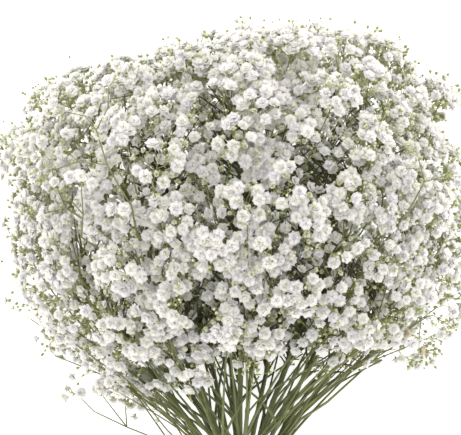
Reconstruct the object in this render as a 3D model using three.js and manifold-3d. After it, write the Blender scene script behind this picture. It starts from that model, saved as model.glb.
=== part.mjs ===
// A bunch of gypsophila (baby's breath): sixteen cut stems in flower, held by one elastic band
// and laid on a table. Millimetres, +Z up. The heads point along +Y and the cut ends along -Y.
// The bunch leans on the underside of its heads and on its lowest cut ends, and the origin is the
// bottom centre of the whole bunch, on the table.
//
// Everything is worked out in the bunch's own frame first: the origin at the middle of the band,
// +Y along the bunch, +X across it and +Z up. Two nested groups then lay it down and centre it.

import * as THREE from "three";
import { mergeVertices } from "three/addons/utils/BufferGeometryUtils.js";
import Module from "manifold-3d";

const wasm = await Module();
wasm.setup();

// ---- Driving dimensions ------------------------------------------------------------------

const SEED = 20;
const TILT = THREE.MathUtils.degToRad(10); // the bunch's own axis against the table
const BAND_HEIGHT = 50; // middle of the band above the table

// Cut stems. At the band they stand in rings, a stem's width and a small gap apart.
const STEM = { cutRadius: 2.65, bandRadius: 2.45, topRadius: 1.3, sides: 6, cutEnd: -195 };
const RINGS = [
  { count: 1, radius: 0, turn: 0, name: "heart_stem" },
  { count: 5, radius: 5.3, turn: 90, name: "inner_stem" },
  { count: 10, radius: 10.6, turn: 84, name: "outer_stem" },
];
const FOOT_FLARE = 0.0018; // growth of the rings per millimetre below the band
const FAN = { bend: 30, across: 0.08, up: 0.06 }; // how the rings open above the band

const BAND = { height: 12, thickness: 1.6, ribs: 4, ribDepth: 0.6, clearance: 0.3, segments: 24 };

// The head: a rounded block that the florets' middles lie on.
const HEAD = {
  centre: 195,
  halfWidth: 147,
  halfLength: 112,
  halfUp: 103,
  halfDown: 73,
  flatSides: 3.2, // exponent across the bunch, where the outline is boxy
  flatTop: 2.3, // exponent towards the table and away from it
};
// Sprays that reach further out than the block, or less far: where along its outline, by how much,
// and over what width.
const LOBES = [
  { x: 22, y: 312, push: 12, width: 42 },
  { x: 88, y: 302, push: 12, width: 34 },
  { x: -72, y: 300, push: -12, width: 34 },
  { x: 140, y: 100, push: 16, width: 30 },
  { x: -122, y: 92, push: 12, width: 26 },
];
const EXIT = { below: 112, radius: 46 }; // where the stems enter the head there are no florets

// Florets, larger than life: each stands for a cluster of the real ones.
const FLORET = { radius: 13.5, petals: 5, spacing: 22.5, tries: 2600, deepest: 0.84, wallGap: 0.4 };
const NOTCH = 0.72; // radius of the notch between two petals, as a share of the floret's
const TWIG = { rootRadius: 1.3, endRadius: 1.0, perTwig: 6, lowest: 0.34, highest: 0.96 };
const PEDICEL = { rootRadius: 0.85, endRadius: 0.8, sunk: 0.4, collar: 2.4 };

const SLIVER = 0.05; // edges of crossing pedicels that are shorter than this are merged away

const COLOURS = { flower: 0xe9e8e0, band: 0xb98d5a };

// ---- Small helpers -------------------------------------------------------------------------

const vector = (x, y, z) => new THREE.Vector3(x, y, z);

// A linear congruential generator, so that the same bunch grows every time.
function seededRandom(seed) {
  let state = seed >>> 0;
  return () => {
    state = (Math.imul(state, 1664525) + 1013904223) >>> 0;
    return state / 4294967296;
  };
}

// A closed mesh as a manifold solid.
function solidFrom(geometry) {
  const bare = geometry.clone();
  bare.deleteAttribute("normal");
  bare.deleteAttribute("uv");
  const merged = mergeVertices(bare, 1e-4);
  return new wasm.Manifold(
    new wasm.Mesh({
      numProp: 3,
      vertProperties: new Float32Array(merged.attributes.position.array),
      triVerts: new Uint32Array(merged.index.array),
    }),
  );
}

function geometryFrom(solid) {
  const mesh = solid.getMesh();
  const geometry = new THREE.BufferGeometry();
  geometry.setAttribute("position", new THREE.BufferAttribute(mesh.vertProperties, 3));
  geometry.setIndex(new THREE.BufferAttribute(mesh.triVerts, 1));
  geometry.computeVertexNormals();
  return geometry;
}

// ---- Lofted plant parts ----------------------------------------------------------------------

// A direction square to both given ones, so that rings across either of them line up.
function sideOf(first, second) {
  const side = vector().crossVectors(first, second);
  if (side.lengthSq() < 1e-6) side.crossVectors(first, vector(0, 0, 1));
  if (side.lengthSq() < 1e-6) side.crossVectors(first, vector(1, 0, 0));
  return side.normalize();
}

// Points round a centre, counterclockwise seen from the normal's tip. reach(k) gives the k-th
// point's radius and its height along the normal.
function ring(centre, normal, side, count, reach) {
  const across = vector().crossVectors(normal, side).normalize();
  return Array.from({ length: count }, (_, k) => {
    const angle = (2 * Math.PI * k) / count;
    const { radius, height } = reach(k);
    return centre
      .clone()
      .addScaledVector(side, radius * Math.cos(angle))
      .addScaledVector(across, radius * Math.sin(angle))
      .addScaledVector(normal, height);
  });
}

// A closed skin over rings that may differ in their number of points, down to one for a tip.
function loft(rings) {
  const points = rings.flat();
  const triangles = [];
  let start = 0;
  for (let r = 0; r + 1 < rings.length; r++) {
    const [lower, upper] = [rings[r].length, rings[r + 1].length];
    const at = (i) => start + (i % lower);
    const above = (j) => start + lower + (j % upper);
    const lowerSteps = lower > 1 ? lower : 0;
    const upperSteps = upper > 1 ? upper : 0;
    let [i, j] = [0, 0];
    while (i < lowerSteps || j < upperSteps) {
      const stepLower = j >= upperSteps || (i < lowerSteps && (i + 1) / lower <= (j + 1) / upper);
      if (stepLower) {
        triangles.push(at(i), at(i + 1), above(j));
        i += 1;
      } else {
        triangles.push(at(i), above(j + 1), above(j));
        j += 1;
      }
    }
    start += lower;
  }
  for (let k = 1; k + 1 < rings[0].length; k++) triangles.push(0, k + 1, k);
  for (let k = 1; k + 1 < rings.at(-1).length; k++) triangles.push(start, start + k, start + k + 1);
  const geometry = new THREE.BufferGeometry().setFromPoints(points);
  return geometry.setIndex(triangles);
}

// A tapering stem or twig along a row of points. A radius of 0 at the first point gives a root
// that starts as a point, deep in what it grows from.
function taperedTube(path, radii, sides) {
  const side = sideOf(
    vector().subVectors(path[1], path[0]),
    vector().subVectors(path.at(-1), path.at(-2)),
  );
  const rings = path.map((point, k) => {
    const before = path[Math.max(k - 1, 0)];
    const after = path[Math.min(k + 1, path.length - 1)];
    const along = vector().subVectors(after, before).normalize();
    return radii[k] > 0 ? ring(point, along, side, sides, () => ({ radius: radii[k], height: 0 })) : [point];
  });
  return loft(rings);
}

// ---- The stems' courses ------------------------------------------------------------------------

// How much wider than at the band a ring of stems is at height y, across or up.
function opening(y, slope) {
  const above = Math.max(y - BAND.height / 2, 0);
  const below = Math.max(-y - BAND.height / 2, 0);
  return 1 + slope * (Math.hypot(above, FAN.bend) - FAN.bend) + FOOT_FLARE * below;
}

function openingSlope(y, slope) {
  const above = Math.max(y - BAND.height / 2, 0);
  return (slope * above) / Math.hypot(above, FAN.bend);
}

function stemPoint(stem, y) {
  return vector(stem.u * opening(y, FAN.across), y, stem.v * opening(y, FAN.up));
}

// How far out in the head a point is: 0 at its middle and 1 on its surface.
function headGauge(x, y, z) {
  const flat =
    Math.abs(x / HEAD.halfWidth) ** HEAD.flatSides + Math.abs(y / HEAD.halfLength) ** HEAD.flatSides;
  const depth = Math.abs(z / (z > 0 ? HEAD.halfUp : HEAD.halfDown)) ** HEAD.flatTop;
  return (flat ** (HEAD.flatTop / HEAD.flatSides) + depth) ** (1 / HEAD.flatTop);
}

function layOutStems() {
  const stems = [];
  for (const { count, radius, turn, name } of RINGS) {
    for (let k = 0; k < count; k++) {
      const angle = THREE.MathUtils.degToRad(turn + (360 * k) / count);
      const stem = {
        name: count > 1 ? `${name}_${k + 1}` : name,
        u: radius * Math.cos(angle),
        v: radius * Math.sin(angle),
        tips: [],
      };
      // The stem itself ends well inside the head, and its twigs go on from there.
      const gauge = (y) => {
        const p = stemPoint(stem, y);
        return headGauge(p.x, p.y - HEAD.centre, p.z);
      };
      stem.top = HEAD.centre + 0.66 * HEAD.halfLength;
      while (gauge(stem.top) > 0.74 && gauge(stem.top - 2) < gauge(stem.top)) stem.top -= 2;
      stems.push(stem);
    }
  }
  return stems;
}

// ---- Where the florets sit ---------------------------------------------------------------------

// Signed distance of a point from the wall between a stem's own room and its neighbour's, and the
// wall's inward normal. The walls open above the band as the rings of stems do.
function wall(stem, neighbour, point) {
  const [du, dv] = [stem.u - neighbour.u, stem.v - neighbour.v];
  const half = (neighbour.u ** 2 + neighbour.v ** 2 - stem.u ** 2 - stem.v ** 2) / 2;
  const [gx, gz] = [opening(point.y, FAN.across), opening(point.y, FAN.up)];
  const [sx, sz] = [openingSlope(point.y, FAN.across), openingSlope(point.y, FAN.up)];
  const value = (point.x / gx) * du + (point.z / gz) * dv + half;
  const slope = vector(
    du / gx,
    -((point.x * du * sx) / gx ** 2 + (point.z * dv * sz) / gz ** 2),
    dv / gz,
  );
  return { distance: value / slope.length(), inward: slope.clone().normalize() };
}

function nearestStem(stems, point) {
  const u = point.x / opening(point.y, FAN.across);
  const v = point.z / opening(point.y, FAN.up);
  const distances = stems.map((s) => Math.hypot(s.u - u, s.v - v));
  return stems[distances.indexOf(Math.min(...distances))];
}

function pushToLobes(point) {
  const away = vector(point.x, point.y - HEAD.centre, point.z).normalize();
  const push = LOBES.map((lobe) => {
    const distance = Math.hypot(point.x - lobe.x, point.y - lobe.y);
    return lobe.push * Math.exp(-((distance / lobe.width) ** 2));
  });
  point.addScaledVector(away, push.reduce((total, amount) => total + amount, 0));
}

// Even but irregular cover: a floret is kept if no kept one is nearer than the spacing.
function scatterFlorets(stems) {
  const random = seededRandom(SEED);
  const kept = [];
  for (let k = 0; k < FLORET.tries; k++) {
    const height = 2 * random() - 1;
    const angle = 2 * Math.PI * random();
    const depth = FLORET.deepest + (1 - FLORET.deepest) * Math.sqrt(random());
    const flat = Math.sqrt(1 - height * height);
    const point = vector(
      HEAD.halfWidth * flat * Math.cos(angle),
      HEAD.halfLength * flat * Math.sin(angle),
      (height > 0 ? HEAD.halfUp : HEAD.halfDown) * height,
    );
    point.multiplyScalar(depth / headGauge(point.x, point.y, point.z));
    point.y += HEAD.centre;
    pushToLobes(point);
    if (point.y < EXIT.below && Math.hypot(point.x, point.z) < EXIT.radius) continue;
    const stem = nearestStem(stems, point);
    const room = moveOffWalls(stems, stem, point);
    if (room < FLORET.radius / 2) continue;
    if (kept.some((other) => other.point.distanceTo(point) < FLORET.spacing)) continue;
    const tip = { point, room, outward: outwardAt(point) };
    kept.push(tip);
    stem.tips.push(tip);
  }
  // A floret grows until it meets the wall of its stem's room or its nearest neighbour.
  for (const tip of kept) {
    const others = kept.filter((other) => other !== tip);
    const nearest = Math.min(...others.map((other) => other.point.distanceTo(tip.point)));
    tip.radius = Math.min(FLORET.radius, tip.room, nearest / 2);
  }
}

// Moves a point clear of the walls of its stem's room, and gives the room that it then has.
function moveOffWalls(stems, stem, point) {
  const others = stems.filter((other) => other !== stem);
  const wanted = FLORET.radius + FLORET.wallGap;
  for (let pass = 0; pass < 6; pass++) {
    for (const other of others) {
      const { distance, inward } = wall(stem, other, point);
      if (distance < wanted) point.addScaledVector(inward, wanted - distance);
    }
  }
  return Math.min(...others.map((other) => wall(stem, other, point).distance)) - FLORET.wallGap;
}

function outwardAt(point) {
  return vector(
    point.x / HEAD.halfWidth ** 2,
    (point.y - HEAD.centre) / HEAD.halfLength ** 2,
    point.z / (point.z > 0 ? HEAD.halfUp : HEAD.halfDown) ** 2,
  ).normalize();
}

// ---- One stem with its twigs and florets -------------------------------------------------------

function middleOf(tips) {
  const sum = tips.reduce((total, tip) => total.add(tip.point), vector());
  return sum.divideScalar(tips.length);
}

// Florets that lie side by side, seen along the stem, share a twig.
function shareOutTwigs(stem) {
  const end = stemPoint(stem, stem.top);
  const along = vector().subVectors(end, stemPoint(stem, stem.top - 20)).normalize();
  const side = sideOf(along, vector(0, 0, 1));
  const across = vector().crossVectors(along, side);
  const bearing = (tip) => {
    const away = vector().subVectors(tip.point, end);
    return Math.atan2(away.dot(across), away.dot(side));
  };
  const sorted = [...stem.tips].sort((a, b) => bearing(a) - bearing(b));
  const count = Math.max(1, Math.round(sorted.length / TWIG.perTwig));
  const groups = Array.from({ length: count }, (_, g) =>
    sorted.filter((_, k) => Math.floor((k * count) / sorted.length) === g),
  );
  return groups.sort((a, b) => middleOf(a).y - middleOf(b).y);
}

// A five-petalled floret on its pedicel, in one skin from the pedicel's root to the floret's eye.
function floret(root, tip) {
  const facing = vector().subVectors(tip.point, root).normalize().lerp(tip.outward, 0.6).normalize();
  const neck = tip.point.clone().addScaledVector(facing, -0.5 * tip.radius);
  const along = vector().subVectors(neck, root).normalize();
  const side = sideOf(along, facing);
  const round = (radius) => () => ({ radius, height: 0 });
  const petals = (k) =>
    k % 2
      ? { radius: NOTCH * tip.radius, height: 0.16 * tip.radius }
      : { radius: tip.radius, height: 0.06 * tip.radius };
  return loft([
    [root.clone().addScaledVector(along, -PEDICEL.sunk)],
    ring(root.clone().addScaledVector(along, PEDICEL.collar), along, side, 3, round(PEDICEL.rootRadius)),
    ring(neck, facing, side, 3, round(PEDICEL.endRadius)),
    ring(tip.point, facing, side, 2 * FLORET.petals, petals),
    [tip.point.clone().addScaledVector(facing, 0.34 * tip.radius)],
  ]);
}

// A twig leaves its stem along it and bends away to its fork.
function twigPath(start, along, end) {
  const bend = start.clone().addScaledVector(along, 0.45 * start.distanceTo(end));
  const course = new THREE.QuadraticBezierCurve3(start, bend, end);
  return [0, 0.12, 0.55, 1].map((share) => course.getPoint(share));
}

function growStem(stem) {
  const heights = [STEM.cutEnd, -BAND.height / 2, BAND.height / 2, 20, 38, 66, 100];
  const stations = [...heights.filter((y) => y < stem.top - 15), stem.top];
  const radii = stations.map((y) =>
    y < 0
      ? THREE.MathUtils.mapLinear(y, STEM.cutEnd, 0, STEM.cutRadius, STEM.bandRadius)
      : THREE.MathUtils.mapLinear(y, 0, stem.top, STEM.bandRadius, STEM.topRadius),
  );
  const path = stations.map((y) => stemPoint(stem, y));
  let solid = solidFrom(taperedTube(path, radii, STEM.sides));

  const groups = shareOutTwigs(stem);
  groups.forEach((tips, g) => {
    const share = groups.length > 1 ? g / (groups.length - 1) : 0.8;
    const leaves = stem.top * THREE.MathUtils.lerp(TWIG.lowest, TWIG.highest, share);
    const start = stemPoint(stem, leaves);
    const along = vector().subVectors(stemPoint(stem, leaves + 5), start).normalize();
    const fork = start.clone().lerp(middleOf(tips), 0.66);
    const twig = twigPath(start, along, fork);
    const twigRadii = [0, TWIG.rootRadius, (TWIG.rootRadius + TWIG.endRadius) / 2, TWIG.endRadius];
    solid = solid.add(solidFrom(taperedTube(twig, twigRadii, 3)));
    tips.forEach((tip, k) => {
      const root = twig[2].clone().lerp(twig[3], tips.length > 1 ? 0.1 + (0.82 * k) / (tips.length - 1) : 0.9);
      solid = solid.add(solidFrom(floret(root, tip)));
    });
  });
  return solid;
}

// ---- The band ----------------------------------------------------------------------------------

// One elastic band wound several times round the stems: a ring with a rib for each turn.
function bandGeometry() {
  const inner = RINGS.at(-1).radius + STEM.bandRadius + BAND.clearance;
  const outer = inner + BAND.thickness;
  const turn = BAND.height / BAND.ribs;
  const profile = [new THREE.Vector2(inner, BAND.height / 2), new THREE.Vector2(inner, -BAND.height / 2)];
  for (let k = 0; k < BAND.ribs; k++) {
    const low = -BAND.height / 2 + k * turn;
    profile.push(new THREE.Vector2(outer - BAND.ribDepth, low));
    profile.push(new THREE.Vector2(outer, low + turn / 2));
  }
  profile.push(new THREE.Vector2(outer - BAND.ribDepth, BAND.height / 2));
  profile.push(profile[0].clone());
  return new THREE.LatheGeometry(profile, BAND.segments);
}

// ---- The whole bunch -----------------------------------------------------------------------------

// Everything under the table, in the bunch's own frame: what reaches it is pressed flat.
function tableSolid(lie) {
  const table = new THREE.BoxGeometry(900, 900, 200);
  table.applyMatrix4(new THREE.Matrix4().makeTranslation(0, 0, -100));
  table.applyMatrix4(lie.clone().invert());
  return solidFrom(table);
}

const bunch = new THREE.Group();
bunch.rotation.x = TILT;
bunch.position.z = BAND_HEIGHT;
bunch.updateMatrix();

const table = tableSolid(bunch.matrix);
const flowers = new THREE.MeshStandardMaterial({ color: COLOURS.flower, roughness: 0.75, metalness: 0 });
const elastic = new THREE.MeshStandardMaterial({ color: COLOURS.band, roughness: 0.6, metalness: 0 });

const stems = layOutStems();
scatterFlorets(stems);
for (const stem of stems) {
  const solid = growStem(stem).subtract(table).simplify(SLIVER);
  const mesh = new THREE.Mesh(geometryFrom(solid), flowers);
  mesh.name = stem.name;
  bunch.add(mesh);
}
const band = new THREE.Mesh(bandGeometry(), elastic);
band.name = "binding_band";
bunch.add(band);

const part = new THREE.Group();
part.add(bunch);
const box = new THREE.Box3().setFromObject(part, true);
bunch.position.x -= (box.min.x + box.max.x) / 2;
bunch.position.y -= (box.min.y + box.max.y) / 2;

export default part;
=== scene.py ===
# %% [markdown]
# # A bunch of gypsophila
# Sixteen cut stems of baby's breath lie on a table, held together by an elastic band. The plain
# model gives each stem as one solid with a few large florets. Here every stem is grown again, in
# the same place, with thousands of true-size double florets, buds, pedicels and twigs.
#
# The frame is loaded first, because it says where the plain model's band and its box are. The band
# places the whole bunch, and the box is kept, so that the finished bunch can be measured against it
# at the end.

# %% The frame
import math

import bmesh
import bpy
import numpy as np
from mathutils import Matrix, Vector, noise


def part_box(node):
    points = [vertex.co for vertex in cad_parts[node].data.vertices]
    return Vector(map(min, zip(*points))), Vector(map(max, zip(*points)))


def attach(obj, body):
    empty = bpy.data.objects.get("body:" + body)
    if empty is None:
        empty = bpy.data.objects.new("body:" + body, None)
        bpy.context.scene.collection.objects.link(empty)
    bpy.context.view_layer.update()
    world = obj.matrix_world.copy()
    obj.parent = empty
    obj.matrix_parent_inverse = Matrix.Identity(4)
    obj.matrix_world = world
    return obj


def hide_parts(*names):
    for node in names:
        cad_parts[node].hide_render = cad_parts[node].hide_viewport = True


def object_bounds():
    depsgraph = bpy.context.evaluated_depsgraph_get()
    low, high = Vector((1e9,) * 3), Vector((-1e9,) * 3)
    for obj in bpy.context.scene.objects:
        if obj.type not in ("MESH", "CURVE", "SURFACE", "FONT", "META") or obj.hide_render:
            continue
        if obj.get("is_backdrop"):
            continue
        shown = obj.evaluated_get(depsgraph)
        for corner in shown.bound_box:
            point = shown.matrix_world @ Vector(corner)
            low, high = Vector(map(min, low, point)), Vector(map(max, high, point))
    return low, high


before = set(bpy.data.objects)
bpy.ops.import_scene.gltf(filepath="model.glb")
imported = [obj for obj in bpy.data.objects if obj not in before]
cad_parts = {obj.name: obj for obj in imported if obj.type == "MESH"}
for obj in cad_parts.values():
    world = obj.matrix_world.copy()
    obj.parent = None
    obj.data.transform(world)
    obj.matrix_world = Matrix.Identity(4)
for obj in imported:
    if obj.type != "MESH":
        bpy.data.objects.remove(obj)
model_box = [list(corner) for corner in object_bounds()]
print("plain model, lowest and highest corner in metres:", model_box)

# %% [markdown]
# ## The bunch's own frame
# A bunch is easiest to describe along its own axis: the origin in the middle of the band, +Y towards
# the flowers, +Z towards the sky, all in millimetres. It lies tilted on the table, because the head
# is thick and the cut ends are not. One matrix turns the bunch's millimetres into the table's metres,
# and every mesh is made in the first and then carried over by that matrix.

# %% How the bunch lies
PER_METRE = 1000  # millimetres
TILT = math.radians(10)
band_low, band_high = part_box("binding_band")
band_middle = (band_low + band_high) / 2
LIE = Matrix.Translation(band_middle) @ Matrix.Rotation(TILT, 4, "X") @ Matrix.Scale(1 / PER_METRE, 4)
TO_BUNCH = LIE.inverted()
print("middle of the band in metres:", [round(c, 4) for c in band_middle])

# %% [markdown]
# ## A random draw that repeats
# The plain model scattered its florets with a small linear congruential generator. The same
# generator with the same seed, and the same order of draws, finds the same places again. Every
# scatter and every stem below has a seed of its own, so a change to one leaves the others alone.

# %% Seeded draws
FACTOR, STEP, RANGE = 1664525, 1013904223, 2**32


def seeded_random(seed):
    """A function that gives the next number of its series, from 0 to 1."""
    state = seed

    def draw():
        nonlocal state
        state = (state * FACTOR + STEP) % RANGE
        return state / RANGE

    return draw


def between(draw, low, high):
    return low + (high - low) * draw()


def shaken(draw, amount):
    """A small vector, each of its coordinates up to amount either way."""
    return Vector([between(draw, -amount, amount) for _ in range(3)])


sample = seeded_random(1)
print("three draws of a series:", [round(sample(), 3) for _ in range(3)])

# %% [markdown]
# ## The head's form
# All the flowers together make one broad, blunt head, flatter underneath, where it lies on the
# table. A box with rounded edges would look right, but a superellipsoid does more: one short formula
# also tells how far out in the head any point is, and the steps below ask that thousands of times.

# %% A blunt block
HEAD = {  # half sizes in millimetres, and how blunt the head is seen from above and from the side
    "centre": 195, "width": 147, "length": 112, "up": 103, "down": 73, "sides": 3.2, "top": 2.3,
}


def flat_share(x, y):
    """How far out a place is in the head's outline from above."""
    return abs(x / HEAD["width"]) ** HEAD["sides"] + abs(y / HEAD["length"]) ** HEAD["sides"]


def depth_share(z):
    """How far up or down a height is in the head's thickness."""
    return abs(z / (HEAD["up"] if z > 0 else HEAD["down"])) ** HEAD["top"]


def head_gauge(x, y, z):
    """How far out a point is, measured from the head's middle: 0 there and 1 on the surface."""
    return (flat_share(x, y) ** (HEAD["top"] / HEAD["sides"]) + depth_share(z)) ** (1 / HEAD["top"])


def gauge_at(point):
    return head_gauge(point.x, point.y - HEAD["centre"], point.z)


def outward_at(point):
    """The way out of the head at a point, taken from a plain ellipsoid, which has no flat sides."""
    depth = HEAD["up"] if point.z > 0 else HEAD["down"]
    across, along = point.x / HEAD["width"] ** 2, (point.y - HEAD["centre"]) / HEAD["length"] ** 2
    return Vector((across, along, point.z / depth**2)).normalized()


print("the head in millimetres:", 2 * HEAD["width"], 2 * HEAD["length"], HEAD["up"] + HEAD["down"])

# %% [markdown]
# ## Uneven sprays
# A grown head is never as even as a formula. A few of its sprays reach further out than the others
# and one stays behind, so near each of these places the surface is pushed out or pulled in, most in
# the middle of the place and softly less around it.

# %% Lobes of the head
LOBES = [  # x and y of the place, by how much it is pushed, and how wide the push is
    (22, 312, 12, 42), (88, 302, 12, 34), (-72, 300, -12, 34), (140, 100, 16, 30), (-122, 92, 12, 26),
]


def push_to_lobes(point):
    away = Vector((point.x, point.y - HEAD["centre"], point.z)).normalized()
    push = sum(
        by * math.exp(-((math.hypot(point.x - x, point.y - y) / wide) ** 2)) for x, y, by, wide in LOBES
    )
    return point + push * away


def on_head(height, angle, depth):
    """The point of the head in a direction, at a share of the way out to its surface."""
    flat = math.sqrt(1 - height * height)
    point = Vector((
        HEAD["width"] * flat * math.cos(angle),
        HEAD["length"] * flat * math.sin(angle),
        (HEAD["up"] if height > 0 else HEAD["down"]) * height,
    ))
    point *= depth / head_gauge(*point)
    point.y += HEAD["centre"]
    return push_to_lobes(point)


print("lobes of the head:", len(LOBES))

# %% [markdown]
# ## The stems' courses
# At the band the stems stand in rings: one in the heart, five round it and ten outside. Above the
# band the rings open like a fountain, faster across the bunch than up, and below it they flare a
# little. The rule is one formula, so the place of a stem at any height is known without a list. A
# stem ends inside the head, where its last twigs take over.

# %% Where each stem runs
STEM = {"cut_radius": 2.65, "band_radius": 2.45, "top_radius": 1.3, "cut_end": -195}
STEM_TOP = {"highest": 0.66, "deep": 0.74, "step": 2}
RINGS = [("heart_stem", 1, 0, 0), ("inner_stem", 5, 5.3, 90), ("outer_stem", 10, 10.6, 84)]
BAND_HALF = 6
FOOT_FLARE = 0.0018
FAN_BEND, FAN_ACROSS, FAN_UP = 30, 0.08, 0.06
TWIG_AHEAD = 5  # a twig starts off the way its stem goes on over the next millimetres


def opening(y, slope):
    """How much wider than at the band the rings are at a height."""
    above, below = max(y - BAND_HALF, 0), max(-y - BAND_HALF, 0)
    return 1 + slope * (math.hypot(above, FAN_BEND) - FAN_BEND) + FOOT_FLARE * below


class Stem:
    """Where a stem stands in the rings, how high it runs, and which tips it feeds."""

    def __init__(self, name, u, v):
        self.name, self.u, self.v, self.tips = name, u, v, []
        top, step = HEAD["centre"] + STEM_TOP["highest"] * HEAD["length"], STEM_TOP["step"]
        while self.gauge(top) > STEM_TOP["deep"] and self.gauge(top - step) < self.gauge(top):
            top -= step
        self.top = top

    def point(self, y):
        return Vector((self.u * opening(y, FAN_ACROSS), y, self.v * opening(y, FAN_UP)))

    def gauge(self, y):
        return gauge_at(self.point(y))

    def radius(self, y):
        if y < 0:
            share = (y - STEM["cut_end"]) / -STEM["cut_end"]
            return STEM["cut_radius"] + share * (STEM["band_radius"] - STEM["cut_radius"])
        return STEM["band_radius"] + (y / self.top) * (STEM["top_radius"] - STEM["band_radius"])

    def leaving(self, y):
        """Where a twig leaves the stem, and the way the stem runs there."""
        start = self.point(y)
        return start, self.point(y + TWIG_AHEAD) - start


stems = []
for ring_name, count, radius, turn in RINGS:
    for k in range(count):
        angle = math.radians(turn + 360 * k / count)
        name = f"{ring_name}_{k + 1}" if count > 1 else ring_name
        stems.append(Stem(name, radius * math.cos(angle), radius * math.sin(angle)))
print(len(stems), "stems, with tops at", sorted({stem.top for stem in stems}))

# %% [markdown]
# ## Rooms in the head
# Each stem has a room of its own in the head: the points that are nearer to it than to any other
# stem, measured in the rings at the band. Such rooms open with the fountain, so twigs that stay in
# their stem's room don't cross those of its neighbours. A few steps towards the inside move a point
# clear of all the walls between the rooms.

# %% Walls between the rooms
TIP = {
    "seed": 20, "radius": 13.5, "spacing": 22.5, "tries": 2600, "deepest": 0.84, "wall_gap": 0.4,
    "rounds": 6,
}


def opening_slope(y, slope):
    """How fast the rings open at a height."""
    above = max(y - BAND_HALF, 0)
    return slope * above / math.hypot(above, FAN_BEND)


def wall(stem, other, point):
    """Distance of a point from the wall between two stems' rooms, and the wall's inward normal."""
    du, dv = stem.u - other.u, stem.v - other.v
    half = (other.u**2 + other.v**2 - stem.u**2 - stem.v**2) / 2
    gx, gz = opening(point.y, FAN_ACROSS), opening(point.y, FAN_UP)
    sx, sz = opening_slope(point.y, FAN_ACROSS), opening_slope(point.y, FAN_UP)
    value = point.x / gx * du + point.z / gz * dv + half
    slope = Vector((du / gx, -(point.x * du * sx / gx**2 + point.z * dv * sz / gz**2), dv / gz))
    return value / slope.length, slope.normalized()


def nearest_stem(point):
    u, v = point.x / opening(point.y, FAN_ACROSS), point.z / opening(point.y, FAN_UP)
    return min(stems, key=lambda stem: math.hypot(stem.u - u, stem.v - v))


def move_off_walls(stem, point):
    """Moves a point into its stem's room, and says how much room there is round it."""
    others = [other for other in stems if other is not stem]
    wanted = TIP["radius"] + TIP["wall_gap"]
    for _ in range(TIP["rounds"]):
        for other in others:
            distance, inward = wall(stem, other, point)
            if distance < wanted:
                point += (wanted - distance) * inward
    return min(wall(stem, other, point)[0] for other in others) - TIP["wall_gap"]


print("the head's middle is in the room of", nearest_stem(Vector((0, HEAD["centre"], 0))).name)

# %% [markdown]
# ## The tips that the twigs reach for
# Tips are scattered over the head and moved clear of the walls, exactly as in the plain model. They
# are the middles of the flower clusters below. None is where the stems come into the head.

# %% Scattering the tips
EXIT = {"below": 112, "radius": 46}


def where_stems_enter(point):
    return point.y < EXIT["below"] and math.hypot(point.x, point.z) < EXIT["radius"]


def scatter_tips():
    draw = seeded_random(TIP["seed"])
    kept = []
    for _ in range(TIP["tries"]):
        height, angle = 2 * draw() - 1, math.tau * draw()
        depth = TIP["deepest"] + (1 - TIP["deepest"]) * math.sqrt(draw())
        point = on_head(height, angle, depth)
        if where_stems_enter(point):
            continue
        stem = nearest_stem(point)
        room = move_off_walls(stem, point)
        if room < TIP["radius"] / 2 or any((p - point).length < TIP["spacing"] for p in kept):
            continue
        kept.append(point)
        stem.tips.append(point)
    return kept


tips = scatter_tips()
print(len(tips), "tips:", {stem.name: len(stem.tips) for stem in stems})

# %% [markdown]
# ## Dense, thin and open places
# The head isn't equally full everywhere. A few hollows stay open, so that one looks into the dark of
# the bunch. The two lower corners are airy, with fewer and fewer flowers towards the outside. Under
# a ragged hem there are no flowers at all, and the bare stems show. Towards both sides the florets
# are a little smaller and closer. Each of these is a small question about a point, which every
# scatter below can ask.

# %% Hollows, corners and the hem
HOLLOWS = [(-16, 258, 14), (46, 219, 15), (-26, 136, 11), (16, 168, 7), (70, 160, 8)]  # x, y, radius
AIRY = {"from": 0.14, "to": 0.6, "lost": 0.76}
HEM = [(-30, 76), (-6, 90), (14, 103), (60, 108), (96, 113), (104, 84)]  # x and y
SIDE = {"x": 150, "smaller": 0.17}


def in_hollow(point, share=1):
    return point.z > 0 and any(math.hypot(point.x - x, point.y - y) < share * r for x, y, r in HOLLOWS)


def airy(point):
    """0 over most of the head and 1 in its two lower corners, where one sees through it."""
    corner = abs(point.x) / HEAD["width"] * max(HEAD["centre"] - point.y, 0) / HEAD["length"]
    return min(max((corner - AIRY["from"]) / (AIRY["to"] - AIRY["from"]), 0), 1)


def under_hem(point):
    return point.y < np.interp(point.x, *zip(*HEM))


def smaller_aside(point):
    return 1 - SIDE["smaller"] * min(abs(point.x) / SIDE["x"], 1)


print("hollows:", len(HOLLOWS), "and bends of the hem:", len(HEM))

# %% [markdown]
# ## Over the table
# The lowest flowers touch the table. Nobody sees the underside of the head, so low flowers stand
# further apart and are simpler, and a point that would sink into the table is raised off it.

# %% Heights over the table
HIDDEN = {"below": 35, "apart": 1.7}  # millimetres over the table, and how much further apart


def height_over_table(point):
    return PER_METRE * (LIE @ point).z


def lift_off_table(point, clear):
    place = LIE @ point
    place.z = max(place.z, clear / PER_METRE)
    return TO_BUNCH @ place


print("height of the head's middle:", round(height_over_table(Vector((0, HEAD["centre"], 0)))), "mm")

# %% [markdown]
# ## Neighbours
# Flowers shouldn't stand inside each other. To ask every other flower how near it is would take
# minutes, so the points are kept in the cells of a coarse grid, and only the cells next to a point
# are searched.

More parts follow.
